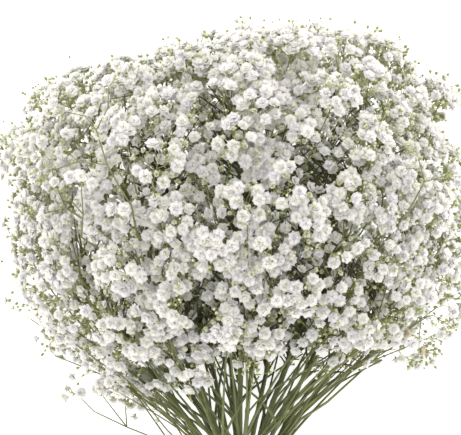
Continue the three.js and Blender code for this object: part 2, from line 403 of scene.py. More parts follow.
# %% A grid that finds neighbours
class Grid:
    """It finds every neighbour up to one cell's width away, and most of those a little further off."""

    def __init__(self, pitch):
        self.pitch, self.cells = pitch, {}

    def cell(self, point):
        return tuple(math.floor(c / self.pitch) for c in point)

    def add(self, point):
        self.cells.setdefault(self.cell(point), []).append(point)

    def crowded(self, point, near):
        i, j, k = self.cell(point)
        around = ((i + a, j + b, k + c) for a in (-1, 0, 1) for b in (-1, 0, 1) for c in (-1, 0, 1))
        return any((p - point).length < near for key in around for p in self.cells.get(key, ()))


taken = Grid(12)
flowers = []  # (point, layer, hidden) of each
print("cells of the flowers' grid:", taken.pitch, "mm")

# %% [markdown]
# ## Domes of flowers
# The head of a real bunch is a cloud of small domes, one for each spray, with dark valleys between
# them. So every tip gets a dome of its own. Flowers are thrown at it again and again, and one stays
# where no other is nearer than the least distance. That looks grown, where a grid or a plain random
# scatter doesn't. Domes are wide and closed in the middle of the bunch and smaller at its sides, and
# a soft noise eats at their edges.

# %% Flowers on the domes
DOME = {
    "seed": 7, "rounds": 150, "near": 5.0, "airy": 2, "crown": 3, "sink": 0.034, "uneven": 1.2,
    "middle": 17, "side": 15.5, "edge": 0.86, "ragged": 0.5, "grain": 13,
}
FLOWER_CLEAR = 5  # millimetres over the table


def on_dome(draw, tip):
    """A point of a tip's dome, or none where the dome's ragged edge leaves it out."""
    outward = outward_at(tip)
    side = outward.orthogonal().normalized()
    ease = min(abs(tip.x) / HEAD["width"], 1) ** 2
    reach = DOME["middle"] + ease * (DOME["side"] - DOME["middle"])
    far, angle = reach * math.sqrt(draw()), math.tau * draw()
    rise = DOME["crown"] - DOME["sink"] * far**2 + between(draw, -DOME["uneven"], DOME["uneven"])
    around = Matrix.Rotation(angle, 3, outward) @ side
    point = tip + far * around + rise * outward
    edge = DOME["edge"] + DOME["ragged"] * noise.noise(point / DOME["grain"])
    return point if far < reach * edge else None


def keep_flower(draw, point, layer, near):
    """Keeps a flower, unless an airy corner loses it, it is under the hem, or others are too near."""
    if draw() < AIRY["lost"] * airy(point) or under_hem(point):
        return
    hidden = height_over_table(point) < HIDDEN["below"]
    if not taken.crowded(point, near * (HIDDEN["apart"] if hidden else 1)):
        taken.add(point)
        flowers.append((point, layer, hidden))


def scatter_on_domes():
    draw = seeded_random(DOME["seed"])
    for _ in range(DOME["rounds"]):
        for tip in tips:
            point = on_dome(draw, tip)
            if point and not where_stems_enter(point) and not in_hollow(point):
                near = smaller_aside(point) * DOME["near"] + DOME["airy"] * airy(point)
                keep_flower(draw, lift_off_table(point, FLOWER_CLEAR), "dome", near)


scatter_on_domes()
print(len(flowers), "flowers on the domes,", sum(hidden for _, _, hidden in flowers), "of them hidden")

# %% [markdown]
# ## Deeper flowers
# Between the domes one sees other flowers, deeper in the bunch and in the shade. They are scattered
# over a shell under the surface, and only where no dome covers them, so none is made that nobody
# can see.

# %% Flowers between the domes
DEEP = {
    "seed": 8, "tries": 9000, "near": 7.6, "out": (0.74, 0.9), "cover": 11, "cover_near": 6,
    "hollow": 0.6,
}


def scatter_deep():
    draw = seeded_random(DEEP["seed"])
    for _ in range(DEEP["tries"]):
        height, angle = 2 * draw() - 1, math.tau * draw()
        point = on_head(height, angle, between(draw, *DEEP["out"]))
        covered = taken.crowded(point + DEEP["cover"] * outward_at(point), DEEP["cover_near"])
        if not where_stems_enter(point) and not covered and not in_hollow(point, DEEP["hollow"]):
            keep_flower(draw, lift_off_table(point, FLOWER_CLEAR), "deep", DEEP["near"])


scatter_deep()
print(len(flowers), "flowers with the deep ones")

# %% [markdown]
# ## Flowers that close the head
# One shouldn't see the table through the thick of the head. Seen from above, the flowers so far
# leave gaps, so the next scatter works in that flat picture alone: a place that is far enough from
# every flower in it gets one more, deep in the head. Under the hollows they may stand closer,
# because nothing else is there.

# %% Fillers in the head's middle
FILL = {
    "seed": 9, "tries": 20000, "near": 4.1, "in_hollow": 3.1, "hollow": 1.2, "out": 0.92, "airy": 0.2,
    "height": (-0.35, 0.25),
}
PLAN_PITCH = 8


def place_to_fill(draw):
    """A random place seen from above, or none where the head is meant to be thin or open."""
    x, y = HEAD["width"] * between(draw, -1, 1), HEAD["length"] * between(draw, -1, 1)
    place = Vector((x, y + HEAD["centre"], 0))
    if head_gauge(x, y, 0) > FILL["out"] or airy(place) > FILL["airy"]:
        return None
    return None if under_hem(place) or where_stems_enter(place) else place


def scatter_fillers():
    plan = Grid(PLAN_PITCH)
    for point, _, hidden in flowers:
        if not hidden:
            plan.add(Vector((point.x, point.y, 0)))
    draw, found = seeded_random(FILL["seed"]), []
    for _ in range(FILL["tries"]):
        place = place_to_fill(draw)
        if place is None:
            continue
        z = HEAD["up"] * between(draw, *FILL["height"])
        over = Vector((place.x, place.y, 1))
        near = FILL["in_hollow" if in_hollow(over, FILL["hollow"]) else "near"]
        if not plan.crowded(place, near):
            plan.add(place)
            found.append(Vector((place.x, place.y, z)))
    return found


fillers = scatter_fillers()
print(len(fillers), "fillers")

# %% [markdown]
# ## Cones for petals
# A double floret is a tiny pompom: whorls of small blunt petals, flat outside and upright inside,
# over a green bell of a calyx. There are thousands of them, so a petal has to be cheap. A cone with
# a few sides is a closed petal: its base is the petal's face, pointed inwards and blunt outside, and
# its tip is the keel underneath. Flat petals have five sides, which makes eight triangles, and for
# upright ones, of which only the tips show, four will do. The bell of a calyx is a cone as well.

# %% Petals and calyxes
BODY_SLOT, CALYX_SLOT = 0, 1
POINT_DOWN = Matrix.Rotation(math.pi, 4, "X")
PETAL = {
    "sides": 5, "upright": math.radians(50), "upright_sides": 4, "keel": 0.16, "from_axis": 0.06,
    "roll": 16, "nod": 9, "aside": 7, "length": (0.88, 1.1),
}
CONE_SPAN = (1.81, 1.9)  # length and width of a five-sided cone of radius 1
CALYX_SIDES = 5


def add_cone(bm, sides, radius, depth, matrix, slot):
    made = bmesh.ops.create_cone(
        bm, cap_ends=True, segments=sides, radius1=radius, radius2=0, depth=depth, matrix=matrix
    )
    for face in {face for vert in made["verts"] for face in vert.link_faces}:
        face.material_index = slot


def add_petal(bm, draw, turn, lift, length, width, height):
    """A petal that starts near the floret's axis. lift 0 lies flat and 90 degrees stands up."""
    sides = PETAL["upright_sides"] if lift > PETAL["upright"] else PETAL["sides"]
    roll = math.radians(between(draw, -PETAL["roll"], PETAL["roll"]))
    lift += math.radians(between(draw, -PETAL["nod"], PETAL["nod"]))
    turn += math.radians(between(draw, -PETAL["aside"], PETAL["aside"]))
    length *= between(draw, *PETAL["length"])
    place = (
        Matrix.Rotation(turn, 4, "Z")
        @ Matrix.Translation((PETAL["from_axis"], 0, height))
        @ Matrix.Rotation(-lift, 4, "Y")
        @ Matrix.Rotation(roll, 4, "X")
        @ Matrix.Diagonal((length / CONE_SPAN[0], width / CONE_SPAN[1], 1, 1))
        @ Matrix.Translation((1, 0, 0))
        @ Matrix.Rotation(math.radians(90), 4, "Z")
        @ POINT_DOWN
    )
    add_cone(bm, sides, radius=1, depth=PETAL["keel"], matrix=place, slot=BODY_SLOT)


def add_calyx(bm, radius, depth, height):
    """A green bell: a cone on its tip, its middle at a height from the flower's own."""
    place = Matrix.Translation((0, 0, height)) @ POINT_DOWN
    add_cone(bm, CALYX_SIDES, radius, depth, place, CALYX_SLOT)


print("petals stand on", PETAL["sides"], "or", PETAL["upright_sides"], "sides")

# %% [markdown]
# ## Shapes that can be copied
# A shape is made once, of radius 1, and kept as plain arrays, which are quick to copy thousands of
# times. For each corner a number from 0 to 1 is kept too: how far it is from the eye of a floret, or
# how far along a bud. It becomes a UV map, so that the finishes can make a heart greener than the
# petals' tips.

# %% From a mesh to arrays
def from_eye(points):
    return np.hypot(points[:, 0], points[:, 1])


def from_base(points):
    return (points[:, 2] + 1) / 2


def finish_shape(bm, measure):
    """The shape as arrays. measure(points) gives each corner's number."""
    bmesh.ops.triangulate(bm, faces=bm.faces[:])
    bmesh.ops.recalc_face_normals(bm, faces=bm.faces[:])
    bm.verts.index_update()
    points = np.array([vert.co[:] for vert in bm.verts])
    corners = np.array([[vert.index for vert in face.verts] for face in bm.faces])
    slots = np.array([face.material_index for face in bm.faces])
    bm.free()
    reach = np.clip(measure(points), 0, 1)
    return {"points": points, "corners": corners, "slots": slots, "reach": reach[corners]}


# %% [markdown]
# ## Double florets
# Full florets have four whorls that rise towards the middle. Young ones are smaller and rounder,
# opening ones are cups whose petals still stand, and the plain ones, for places that are hardly
# seen, have two whorls only. The seeds turn and tip the petals differently, and a few of each kind
# are enough, because every copy is turned and tilted again.

# %% The florets
FLORETS = {  # of each whorl: petals, lift in degrees, length, width, height above the calyx
    "full": [
        (8, 0, 1.0, 0.86, 0.0), (7, 28, 0.9, 0.78, 0.1),
        (5, 54, 0.76, 0.68, 0.2), (3, 76, 0.6, 0.56, 0.26),
    ],
    "young": [(7, 14, 0.96, 0.9, 0.0), (5, 40, 0.86, 0.8, 0.1), (3, 68, 0.7, 0.66, 0.16)],
    "cupped": [(5, 52, 1.05, 1.0, -0.05), (4, 70, 0.95, 0.8, 0.0)],
    "plain": [(6, 12, 0.95, 1.0, 0.0), (4, 52, 0.8, 0.85, 0.1)],
}
FLORET_SEEDS = {"full": (1, 2, 3, 4), "young": (5, 6, 7), "cupped": (8, 9), "plain": (10, 11)}


def floret_shape(seed, whorls):
    draw = seeded_random(seed)
    bm = bmesh.new()
    for petals, lift, length, width, height in whorls:
        start = math.tau * draw()
        for k in range(petals):
            turn = start + math.tau * k / petals
            add_petal(bm, draw, turn, math.radians(lift), length, width, height)
    add_calyx(bm, radius=0.4, depth=0.7, height=-0.28)
    return finish_shape(bm, from_eye)


SHAPES = {
    kind: [floret_shape(seed, FLORETS[kind]) for seed in seeds] for kind, seeds in FLORET_SEEDS.items()
}
print("triangles in each floret:", {kind: len(made[0]["corners"]) for kind, made in SHAPES.items()})

# %% [markdown]
# ## Buds and bracts
# A bud is a green pearl, slightly longer than wide, and an icosphere of the first level is round
# enough at two millimetres. Its calyx holds the lower half. A bract is a tiny pointed leaf, as they
# sit at every fork, and a flattened cone is one.

# %% The buds and bracts
BUD_SPAN = (0.82, 0.82, 1.06)
BRACT_SPAN = (0.5, 0.16, 1, 1)


def bud_shape():
    bm = bmesh.new()
    made = bmesh.ops.create_icosphere(bm, subdivisions=1, radius=1)
    bmesh.ops.scale(bm, vec=BUD_SPAN, verts=made["verts"])
    add_calyx(bm, radius=0.86, depth=1.5, height=-0.72)
    return finish_shape(bm, from_base)


def bract_shape():
    bm = bmesh.new()
    place = Matrix.Diagonal(BRACT_SPAN) @ Matrix.Translation((0, 0, 1))
    add_cone(bm, sides=4, radius=0.5, depth=2, matrix=place, slot=CALYX_SLOT)
    return finish_shape(bm, from_base)


SHAPES.update(bud=[bud_shape()], bract=[bract_shape()])
print("triangles in a bud and a bract:", [len(SHAPES[kind][0]["corners"]) for kind in ("bud", "bract")])

# %% [markdown]
# ## Copies in one mesh
# Thousands of separate objects would be slow to handle, and instances are lost when the model is
# exported. So each copy of a shape is moved by its own matrix and written into one mesh for the
# whole stem. Its UV map says how far from the floret's eye a corner is, and a tint for each copy.

# %% Placing copies
PETAL_UV = "petal"


def facing_matrix(point, facing, spin, size):
    turn = facing.to_track_quat("Z", "Y").to_matrix().to_4x4()
    return Matrix.Translation(point) @ turn @ Matrix.Rotation(spin, 4, "Z") @ Matrix.Scale(size, 4)


def link(name, data):
    """An object of the scene at the origin, made of a mesh, a curve, a lamp or a camera."""
    made = bpy.data.objects.new(name, data)
    bpy.context.scene.collection.objects.link(made)
    return made


def copies(name, planted, materials):
    """planted: (shape, matrix, tint) of each copy, in the bunch's millimetres."""
    points, corners, slots, uvs, first = [], [], [], [], 0
    for shape, matrix, tint in planted:
        move = np.array(LIE @ matrix)
        points.append(shape["points"] @ move[:3, :3].T + move[:3, 3])
        corners.append(shape["corners"] + first)
        first += len(shape["points"])
        slots.append(shape["slots"])
        uvs.append(np.stack([shape["reach"], np.full(shape["reach"].shape, tint)], axis=-1))
    places = np.concatenate(points)
    places[:, 2] = np.maximum(places[:, 2], 0)  # what touches the table is pressed flat on it
    mesh = bpy.data.meshes.new(name)
    mesh.from_pydata(places, [], np.concatenate(corners))
    for material in materials:
        mesh.materials.append(material)
    mesh.polygons.foreach_set("material_index", np.concatenate(slots).astype(np.int32))
    layer = mesh.uv_layers.new(name=PETAL_UV)
    layer.uv.foreach_set("vector", np.concatenate(uvs).reshape(-1).astype(np.float32))
    return link(name, mesh)


# %% [markdown]
# ## Tubes for everything green
# Stems, twigs and pedicels are all tubes that taper. A curve with a radius at each point and a
# round outline does that, and fewer sides are enough for a thread half a millimetre thick. The
# curve is turned into a mesh straight away, because only its mesh is needed.

# %% Tapering tubes
SIDES = {"stem": 10, "branch": 6, "twig": 4, "thread": 3}


def outline(sides):
    """The outline of a tube of radius 1."""
    curve = bpy.data.curves.new(f"outline_{sides}", "CURVE")
    spline = curve.splines.new("POLY")
    spline.points.add(sides - 1)
    for k, point in enumerate(spline.points):
        angle = math.tau * k / sides
        point.co = (math.cos(angle), math.sin(angle), 0, 1)
    spline.use_cyclic_u = True
    return bpy.data.objects.new(f"outline_{sides}", curve)


OUTLINES = {kind: outline(sides) for kind, sides in SIDES.items()}


def add_tubes(bm, paths, kind, slot):
    """Adds closed tubes to a bmesh. A path is a list of (point, radius) in the bunch's millimetres."""
    curve = bpy.data.curves.new("tubes", "CURVE")
    curve.dimensions = "3D"
    curve.use_fill_caps = True
    curve.bevel_mode = "OBJECT"
    curve.bevel_object = OUTLINES[kind]
    for path in paths:
        spline = curve.splines.new("POLY")
        spline.points.add(len(path) - 1)
        for point, (place, radius) in zip(spline.points, path):
            point.co = (*place, 1)
            point.radius = radius
    drawn = link("tubes", curve)
    bpy.context.view_layer.update()
    evaluated = drawn.evaluated_get(bpy.context.evaluated_depsgraph_get())
    mesh = bpy.data.meshes.new_from_object(evaluated)
    mesh.materials.clear()
    mesh.polygons.foreach_set("material_index", np.full(len(mesh.polygons), slot, np.int32))
    bm.from_mesh(mesh)
    bpy.data.objects.remove(drawn)
    bpy.data.curves.remove(curve)
    bpy.data.meshes.remove(mesh)


print("sides of the tubes:", SIDES)

# %% [markdown]
# ## Bent paths
# No twig is straight. It leaves its stem the way the stem runs and bends over to where it ends, and
# a quadratic curve with one control point draws just that from very few points.

# %% Paths
LEAN = 0.42  # how far a path keeps to its first direction, as a share of its length


def curved(start, bend, end, radii):
    """A path from start to end that bends towards a point beside it."""
    last = len(radii) - 1
    path = []
    for k, radius in enumerate(radii):
        t = k / last
        path.append(((1 - t) ** 2 * start + 2 * t * (1 - t) * bend + t * t * end, radius))
    return path


def bent(start, along, end, radii, lean=LEAN):
    """A path that leaves start in the direction along and bends over to end."""
    return curved(start, start + along.normalized() * lean * (end - start).length, end, radii)


def direction(path):
    """Where a path points at its end."""
    return (path[-1][0] - path[-2][0]).normalized()


twig = bent(Vector((0, 0, 0)), Vector((0, 1, 0)), Vector((20, 20, 0)), (1, 1, 1))
print("a twig to 20, 20 bends through", [round(c, 1) for c in twig[1][0][:2]])

# %% [markdown]
# ## Sharing the flowers out
# Gypsophila forks again and again. A stem throws out twigs, a twig ends in a fork, and from the fork
# a branchlet goes to each cluster. It is grown here from the outside in: the flowers are known, so
# each of them goes to the cluster of the nearest tip. Points that hang on one knot should be
# neighbours, so they are sorted by their bearing round the axis and then cut into equal groups.

# %% Clusters
UPRIGHT = 1e-3  # an axis whose side is shorter than this is upright, and any side will do


def middle_of(points):
    return sum(points, Vector()) / len(points)


def by_bearing(points, centre, axis):
    """Points in their order round an axis, so that neighbours come together."""
    side = axis.cross(Vector((0, 0, 1)))
    if side.length < UPRIGHT:
        side = Vector((1, 0, 0))
    side.normalize()
    across = axis.cross(side)
    return sorted(points, key=lambda p: math.atan2((p - centre).dot(across), (p - centre).dot(side)))


def split(items, count):
    return [[item for k, item in enumerate(items) if k * count // len(items) == g] for g in range(count)]


def share_flowers():
    """Each flower goes to the cluster of the nearest tip."""
    shared = {tuple(tip): [] for tip in tips}
    for flower in flowers:
        nearest = min(tips, key=lambda tip: (tip - flower[0]).length_squared)
        shared[tuple(nearest)].append(flower)
    return shared


clusters = share_flowers()
sizes = [len(cluster) for cluster in clusters.values()]
print("flowers in a cluster:", min(sizes), "to", max(sizes), "in all", sum(sizes))

# %% [markdown]
# ## Open flowers, young ones and buds
# The middle of the head is fully open. Towards both sides, and most of all on the right, there are
# more buds and half-open flowers, which turn those sides green. A few spent flowers low on the right
# have gone the colour of straw. The tint of a flower is a number that its material reads: up to 0.8
# for open flowers, and a little more for greenish opening ones and for spent ones.

# %% What each flower is
BUD_SHARE = {"middle": 0.05, "left": 0.2, "right": 0.32, "ease": 1.6}
TINT = {"open": 0.8, "opening": 0.9, "spent": 0.98}
SPENT = {"x": (85, 150), "y": (60, 130), "share": 0.14}


def bud_share(x):
    side = BUD_SHARE["right"] if x > 0 else BUD_SHARE["left"]
    ease = min(abs(x) / SIDE["x"], 1) ** BUD_SHARE["ease"]
    return BUD_SHARE["middle"] + (side - BUD_SHARE["middle"]) * ease


def tint_of(draw, point):
    spent = SPENT["x"][0] < point.x < SPENT["x"][1] and SPENT["y"][0] < point.y < SPENT["y"][1]
    if spent and draw() < SPENT["share"]:
        return TINT["spent"]
    return TINT["open"] * draw()


print("share of buds from left to right:", [round(bud_share(x), 2) for x in (-SIDE["x"], 0, SIDE["x"])])

# %% [markdown]
# ## The stem and its knuckles
# A gypsophila stem is swollen where leaves sat, every four to six centimetres. The path of a stem is
# a list of heights with a girth for each, so a knuckle is three heights close together, the middle
# one thicker. Above the band the stems soon get slimmer, each in its own way.

# %% A stem's path
STEM_PITCH = 9
SLIM = {"to": (0.66, 0.9), "by": 50}
KNUCKLE = {"first": (8, 28), "apart": (38, 62), "half": 2.6, "swell": 1.2}


def stem_path(stem, draw):
    slim = between(draw, *SLIM["to"])
    bottom, half = STEM["cut_end"], KNUCKLE["half"]
    count = math.ceil((stem.top - bottom) / STEM_PITCH)
    swells = {bottom + k * (stem.top - bottom) / count: 1 for k in range(count + 1)}
    knuckle = bottom + between(draw, *KNUCKLE["first"])
    while knuckle < stem.top - STEM_PITCH:
        clear = [y for y in swells if abs(y - knuckle) > 2 * half or y in (bottom, stem.top)]
        swells = {y: swells[y] for y in clear}
        swells.update({knuckle - half: 1, knuckle: KNUCKLE["swell"], knuckle + half: 1})
        knuckle += between(draw, *KNUCKLE["apart"])
    girth = {y: 1 + (slim - 1) * min(max(y - BAND_HALF, 0) / SLIM["by"], 1) for y in swells}
    return [(stem.point(y), swells[y] * girth[y] * stem.radius(y)) for y in sorted(swells)]


print("a path of the heart stem has", len(stem_path(stems[0], seeded_random(0))), "points")

# %% [markdown]
# ## What a stem carries
# A growth collects all that one stem carries: tubes by their thickness, and the places of flowers
# and buds. Meshes are made of it at the end, all at once. Each growth has its own random series, so
# one stem can be changed without the others.

# %% Sixteen growths
FIRST_SEED = 100
FULL_TURN = 6.28  # near enough to a full turn for a random one


class Growth:
    def __init__(self, stem, seed):
        self.stem, self.draw = stem, seeded_random(seed)
        self.thick = [stem_path(stem, self.draw)]
        self.branches, self.inner, self.twigs, self.threads = [], [], [], []
        self.flowers, self.buds = [], []

    def between(self, low, high):
        return between(self.draw, low, high)

    def turn(self):
        return FULL_TURN * self.draw()

    def one_of(self, items):
        return items[int(self.draw() * len(items))]

    def jitter(self, vector, amount):
        return (vector + shaken(self.draw, amount)).normalized()


growths = [Growth(stem, FIRST_SEED + k) for k, stem in enumerate(stems)]


def growth_at(point):
    """The growth of the stem whose room a point is in."""
    return growths[stems.index(nearest_stem(point))]


def tell(step):
    tubes = sum(len(g.branches) + len(g.inner) + len(g.twigs) + len(g.threads) for g in growths)
    opened, closed = sum(len(g.flowers) for g in growths), sum(len(g.buds) for g in growths)
    print(f"{step}: {tubes} twigs and threads, {opened} open flowers, {closed} buds and bracts")


print(len(growths), "stems have", sum(len(g.thick[0]) for g in growths), "points in all")

# %% [markdown]
# ## Bracts and buds
# Every fork has a pair of tiny bracts, and every bud and flower has a pedicel, a thread of its own
# that ends in the calyx. A flower or bud is planted only where it stays inside the plain model's
# box, because the finished bunch may not be larger than the model.

# %% Planting bracts and buds
THREADS = {"branchlet": (0.52, 0.42, 0.36), "thread": (0.32, 0.27, 0.24), "pedicel": (0.22, 0.18, 0.18)}
BRACT = {"spread": 0.8, "size": (1.3, 2.2), "tint": 0.5}
BUD = {"radius": (0.85, 1.5), "clear": 0.8, "nod": 0.25, "tint": 0.9, "calyx": 1.3}


def inside(point, clear):
    """True where a flower or bud stays inside the plain model's box and above the table."""
    place = LIE @ point
    low, high = model_box
    return all(a + clear / PER_METRE <= c <= b - clear / PER_METRE for a, c, b in zip(low, place, high))


def plant_bracts(growth, fork, along):
    """A pair of bracts at a fork, on either side of the way on."""
    side = along.orthogonal().normalized()
    turn = Matrix.Rotation(growth.turn(), 3, along)
    for away in (turn @ side, -(turn @ side)):
        matrix = facing_matrix(fork, along + BRACT["spread"] * away, 0, growth.between(*BRACT["size"]))
        growth.buds.append((SHAPES["bract"][0], matrix, BRACT["tint"]))


def add_pedicel(growth, knot, along, end):
    growth.threads.append(bent(knot, along, end, THREADS["pedicel"]))


def plant_bud(growth, knot, along, point):
    radius = growth.between(*BUD["radius"])
    if not inside(point, radius + BUD["clear"]):
        return
    facing = growth.jitter((point - knot).normalized(), BUD["nod"])
    matrix = facing_matrix(point, facing, growth.turn(), radius)
    growth.buds.append((SHAPES["bud"][0], matrix, BUD["tint"] * growth.draw()))
    add_pedicel(growth, knot, along, point - BUD["calyx"] * radius * facing)


print("is the head's middle inside the model's box?", inside(Vector((0, HEAD["centre"], 0)), 0))

# %% [markdown]
# ## Open flowers
# A flower looks outwards, away from its knot and a little up to the light, and never quite as its
# neighbours do. Three directions are added and shaken for that. Nearly half of those on the domes
# are full and the others young. Deep and hidden ones are plain, and one in six is only just opening,
# smaller and greenish.

# %% Planting a flower
FLORET = {
    "radius": {"dome": (3.8, 4.9), "deep": (3.2, 4.3)},
    "reach": 1.15,  # how far the longest petal reaches, in floret radii
    "clear": 0.1, "from_knot": 0.7, "skyward": 0.5, "nod": 0.55, "full": 0.45, "calyx": 0.6,
    "opening": 0.16, "opening_size": (0.5, 0.72),
}
SKY = (TO_BUNCH.to_3x3() @ Vector((0, 0, 1))).normalized()


def plant_flower(growth, knot, along, point, layer, hidden=False):
    radius = growth.between(*FLORET["radius"][layer]) * smaller_aside(point)
    point = lift_off_table(point, FLORET["reach"] * radius + FLORET["clear"])
    if not inside(point, FLORET["reach"] * radius):
        return
    facing = outward_at(point) + FLORET["from_knot"] * (point - knot).normalized()
    facing += (0 if hidden else FLORET["skyward"]) * SKY
    facing = growth.jitter(facing, FLORET["nod"])
    roll, tint = growth.draw(), tint_of(growth.draw, point)
    kind = "full" if roll < FLORET["full"] else "young"
    if hidden or layer == "deep":
        kind = "plain"
    if roll > 1 - FLORET["opening"]:
        kind, radius = "cupped", growth.between(*FLORET["opening_size"]) * radius
        tint = max(tint, TINT["opening"])
    shape = growth.one_of(SHAPES[kind])
    growth.flowers.append((shape, facing_matrix(point, facing, growth.turn(), radius), tint))
    add_pedicel(growth, knot, along, point - FLORET["calyx"] * radius * facing)


print("the largest florets have a radius of", max(FLORET["radius"]["dome"]), "mm")

# %% [markdown]
# ## Clusters
# A branchlet ends below the middle of its cluster and forks into threads. Each thread ends in a knot
# below its own four or five flowers, and each of them has a pedicel. Where the draw says so, three
# buds stand in a flower's place. Loose buds stand a little proud of the flowers, which softens the
# bunch's outline.

# %% Growing a cluster
CLUSTER = {"under_tip": 13, "reach": 0.9, "knot": 0.55, "uneven": 2, "per_knot": 4}
BUDS_FOR_FLOWER = {"count": 3, "apart": 3.2}
LOOSE_BUDS = {"count": 2, "aside": 8, "proud": (1, 7)}


def grow_loose_buds(growth, knot, along, middle):
    outward = outward_at(middle)
    for _ in range(LOOSE_BUDS["count"]):
        aside = shaken(growth.draw, LOOSE_BUDS["aside"])
        plant_bud(growth, knot, along, middle + growth.between(*LOOSE_BUDS["proud"]) * outward + aside)


def grow_cluster(growth, fork, along, tip):
    cluster = clusters[tuple(tip)]
    outward = outward_at(tip)
    base = fork.lerp(tip - CLUSTER["under_tip"] * outward, CLUSTER["reach"])
    branchlet = bent(fork, along, base, THREADS["branchlet"])
    growth.twigs.append(branchlet)
    places = by_bearing([point for point, _, _ in cluster], base, outward)
    facts = {tuple(point): (layer, hidden) for point, layer, hidden in cluster}
    for group in split(places, max(1, round(len(places) / CLUSTER["per_knot"]))):
        middle = middle_of(group)
        knot = base.lerp(middle, CLUSTER["knot"]) + shaken(growth.draw, CLUSTER["uneven"])
        thread = bent(base, direction(branchlet), knot, THREADS["thread"])
        growth.threads.append(thread)
        onward = direction(thread)
        plant_bracts(growth, knot, onward)
        for point in group:
            layer, hidden = facts[tuple(point)]
            if layer == "dome" and growth.draw() < bud_share(point.x):
                for _ in range(BUDS_FOR_FLOWER["count"]):
                    plant_bud(growth, knot, onward, point + shaken(growth.draw, BUDS_FOR_FLOWER["apart"]))
            else:
                plant_flower(growth, knot, onward, point, layer, hidden)
        grow_loose_buds(growth, knot, onward, middle)


print("knots in the largest cluster:", round(max(sizes) / CLUSTER["per_knot"]))

# %% [markdown]
# ## Sprigs
# Twigs that stand free of the domes carry loose little sprays of their own: a thread, and a few
# flowers and buds round its end. They are scattered like the others, so a place too near to one
# that is taken is left out.

# %% Growing a sprig
SPRIG = {
    "long": (7, 15), "short": (3, 7), "aside": 0.7, "over_table": 4.1, "clear": 4,
    "places": 5, "flower": (4.5, 9), "spread": 0.9, "apart": 6, "buds": 0.4,
}


def grow_sprig(growth, base, along, length="long"):
    away = growth.jitter(along, SPRIG["aside"])
    knot = lift_off_table(base + growth.between(*SPRIG[length]) * away, SPRIG["over_table"])
    if not inside(knot, SPRIG["clear"]):
        return
    growth.threads.append(bent(base, along, knot, THREADS["thread"]))
    plant_bracts(growth, knot, away)
    places = []
    for _ in range(SPRIG["places"]):
        place = knot + growth.between(*SPRIG["flower"]) * growth.jitter(away, SPRIG["spread"])
        if any((place - other).length < SPRIG["apart"] for other in places):
            continue
        places.append(place)
        if growth.draw() < SPRIG["buds"]:
            plant_bud(growth, knot, away, place)
        else:
            plant_flower(growth, knot, away, place, "dome")


# %% [markdown]
# ## Single twigs at known places
# Some twigs catch the eye, because they run over the flowers or stand free under the head. Chance
# wouldn't put them in the right places, so their bends are given one by one, seen from above, and
# only the height is worked out: over the flowers for some, and well in front for others. Each grows
# from the stem whose room it starts in. One branch at the right is stronger than the rest.

# %% The bends of the single twigs
TWIGS_ON_TOP = [  # bends of a twig, and of its forks: x and y
    (
        [(-66, 197), (-73, 208), (-81, 222), (-88, 243), (-95, 252), (-107, 255)],
        [
            [(-88, 243), (-81, 257), (-81, 270)],
            [(-81, 222), (-99, 224), (-107, 231)],
            [(-99, 224), (-116, 219)],
        ],
    ),
    ([(-107, 196), (-113, 209), (-116, 219)], [[(-107, 196), (-123, 192)]]),
    ([(-97, 178), (-96, 192), (-97, 207)], [[(-96, 192), (-106, 203)]]),
    ([(105, 198), (113, 212), (128, 216)], [[(113, 212), (109, 226)]]),
]
TWIGS_BELOW = [
    (
        [(-45, 45), (-58, 49), (-73, 55), (-94, 65), (-104, 75)],
        [[(-73, 55), (-87, 73)], [(-73, 55), (-74, 70)]],
    ),
    ([(-38, 44), (-47, 53), (-73, 85)], []),
    ([(-34, 44), (-44, 60), (-55, 79)], [[(-44, 60), (-60, 84)]]),
    ([(-46, 46), (-65, 73), (-82, 98)], []),
    ([(-28, 44), (-40, 70), (-50, 92)], [[(-40, 70), (-55, 83)]]),
    ([(43, 69), (56, 79), (70, 91), (73, 104), (79, 119)], []),
    ([(48, 78), (60, 93), (66, 101)], []),
]
STRONG_BELOW = [
    (
        [(39, 60), (56, 71), (77, 90), (86, 98), (97, 111)],
        [[(86, 98), (96, 102), (106, 106), (120, 112)]],
    ),
]
counts = [len(twigs) for twigs in (TWIGS_ON_TOP, TWIGS_BELOW, STRONG_BELOW)]
print("single twigs on top, below, and strong ones:", counts)

# %% [markdown]
# ## Growing the single twigs
# The root of such a twig runs from its stem to the first bend. From there the tube goes through the
# given bends, and its forks through theirs. Every end carries two sprigs.

# %% Single twigs
DRAWN = {
    "root": 0.95, "fork": 0.55, "end": 0.32, "side_fork": 0.8, "root_points": 5, "lean": 0.3,
    "lowest": 9, "back": 45, "sprigs": 2, "spread": 0.5,
}
OVER_FLOWERS, IN_FRONT = 6, 14  # millimetres over the head, and over the bunch's axis
THIN, STRONG = 1, 1.8


def on_top(x, y):
    """A height just over the flowers."""
    flat = flat_share(x, y - HEAD["centre"])
    top = HEAD["up"] * max(1 - flat ** (HEAD["top"] / HEAD["sides"]), 0) ** (1 / HEAD["top"])
    return top + OVER_FLOWERS


def in_front(x, y):
    """The height of the twigs that stand free under the head."""
    return IN_FRONT


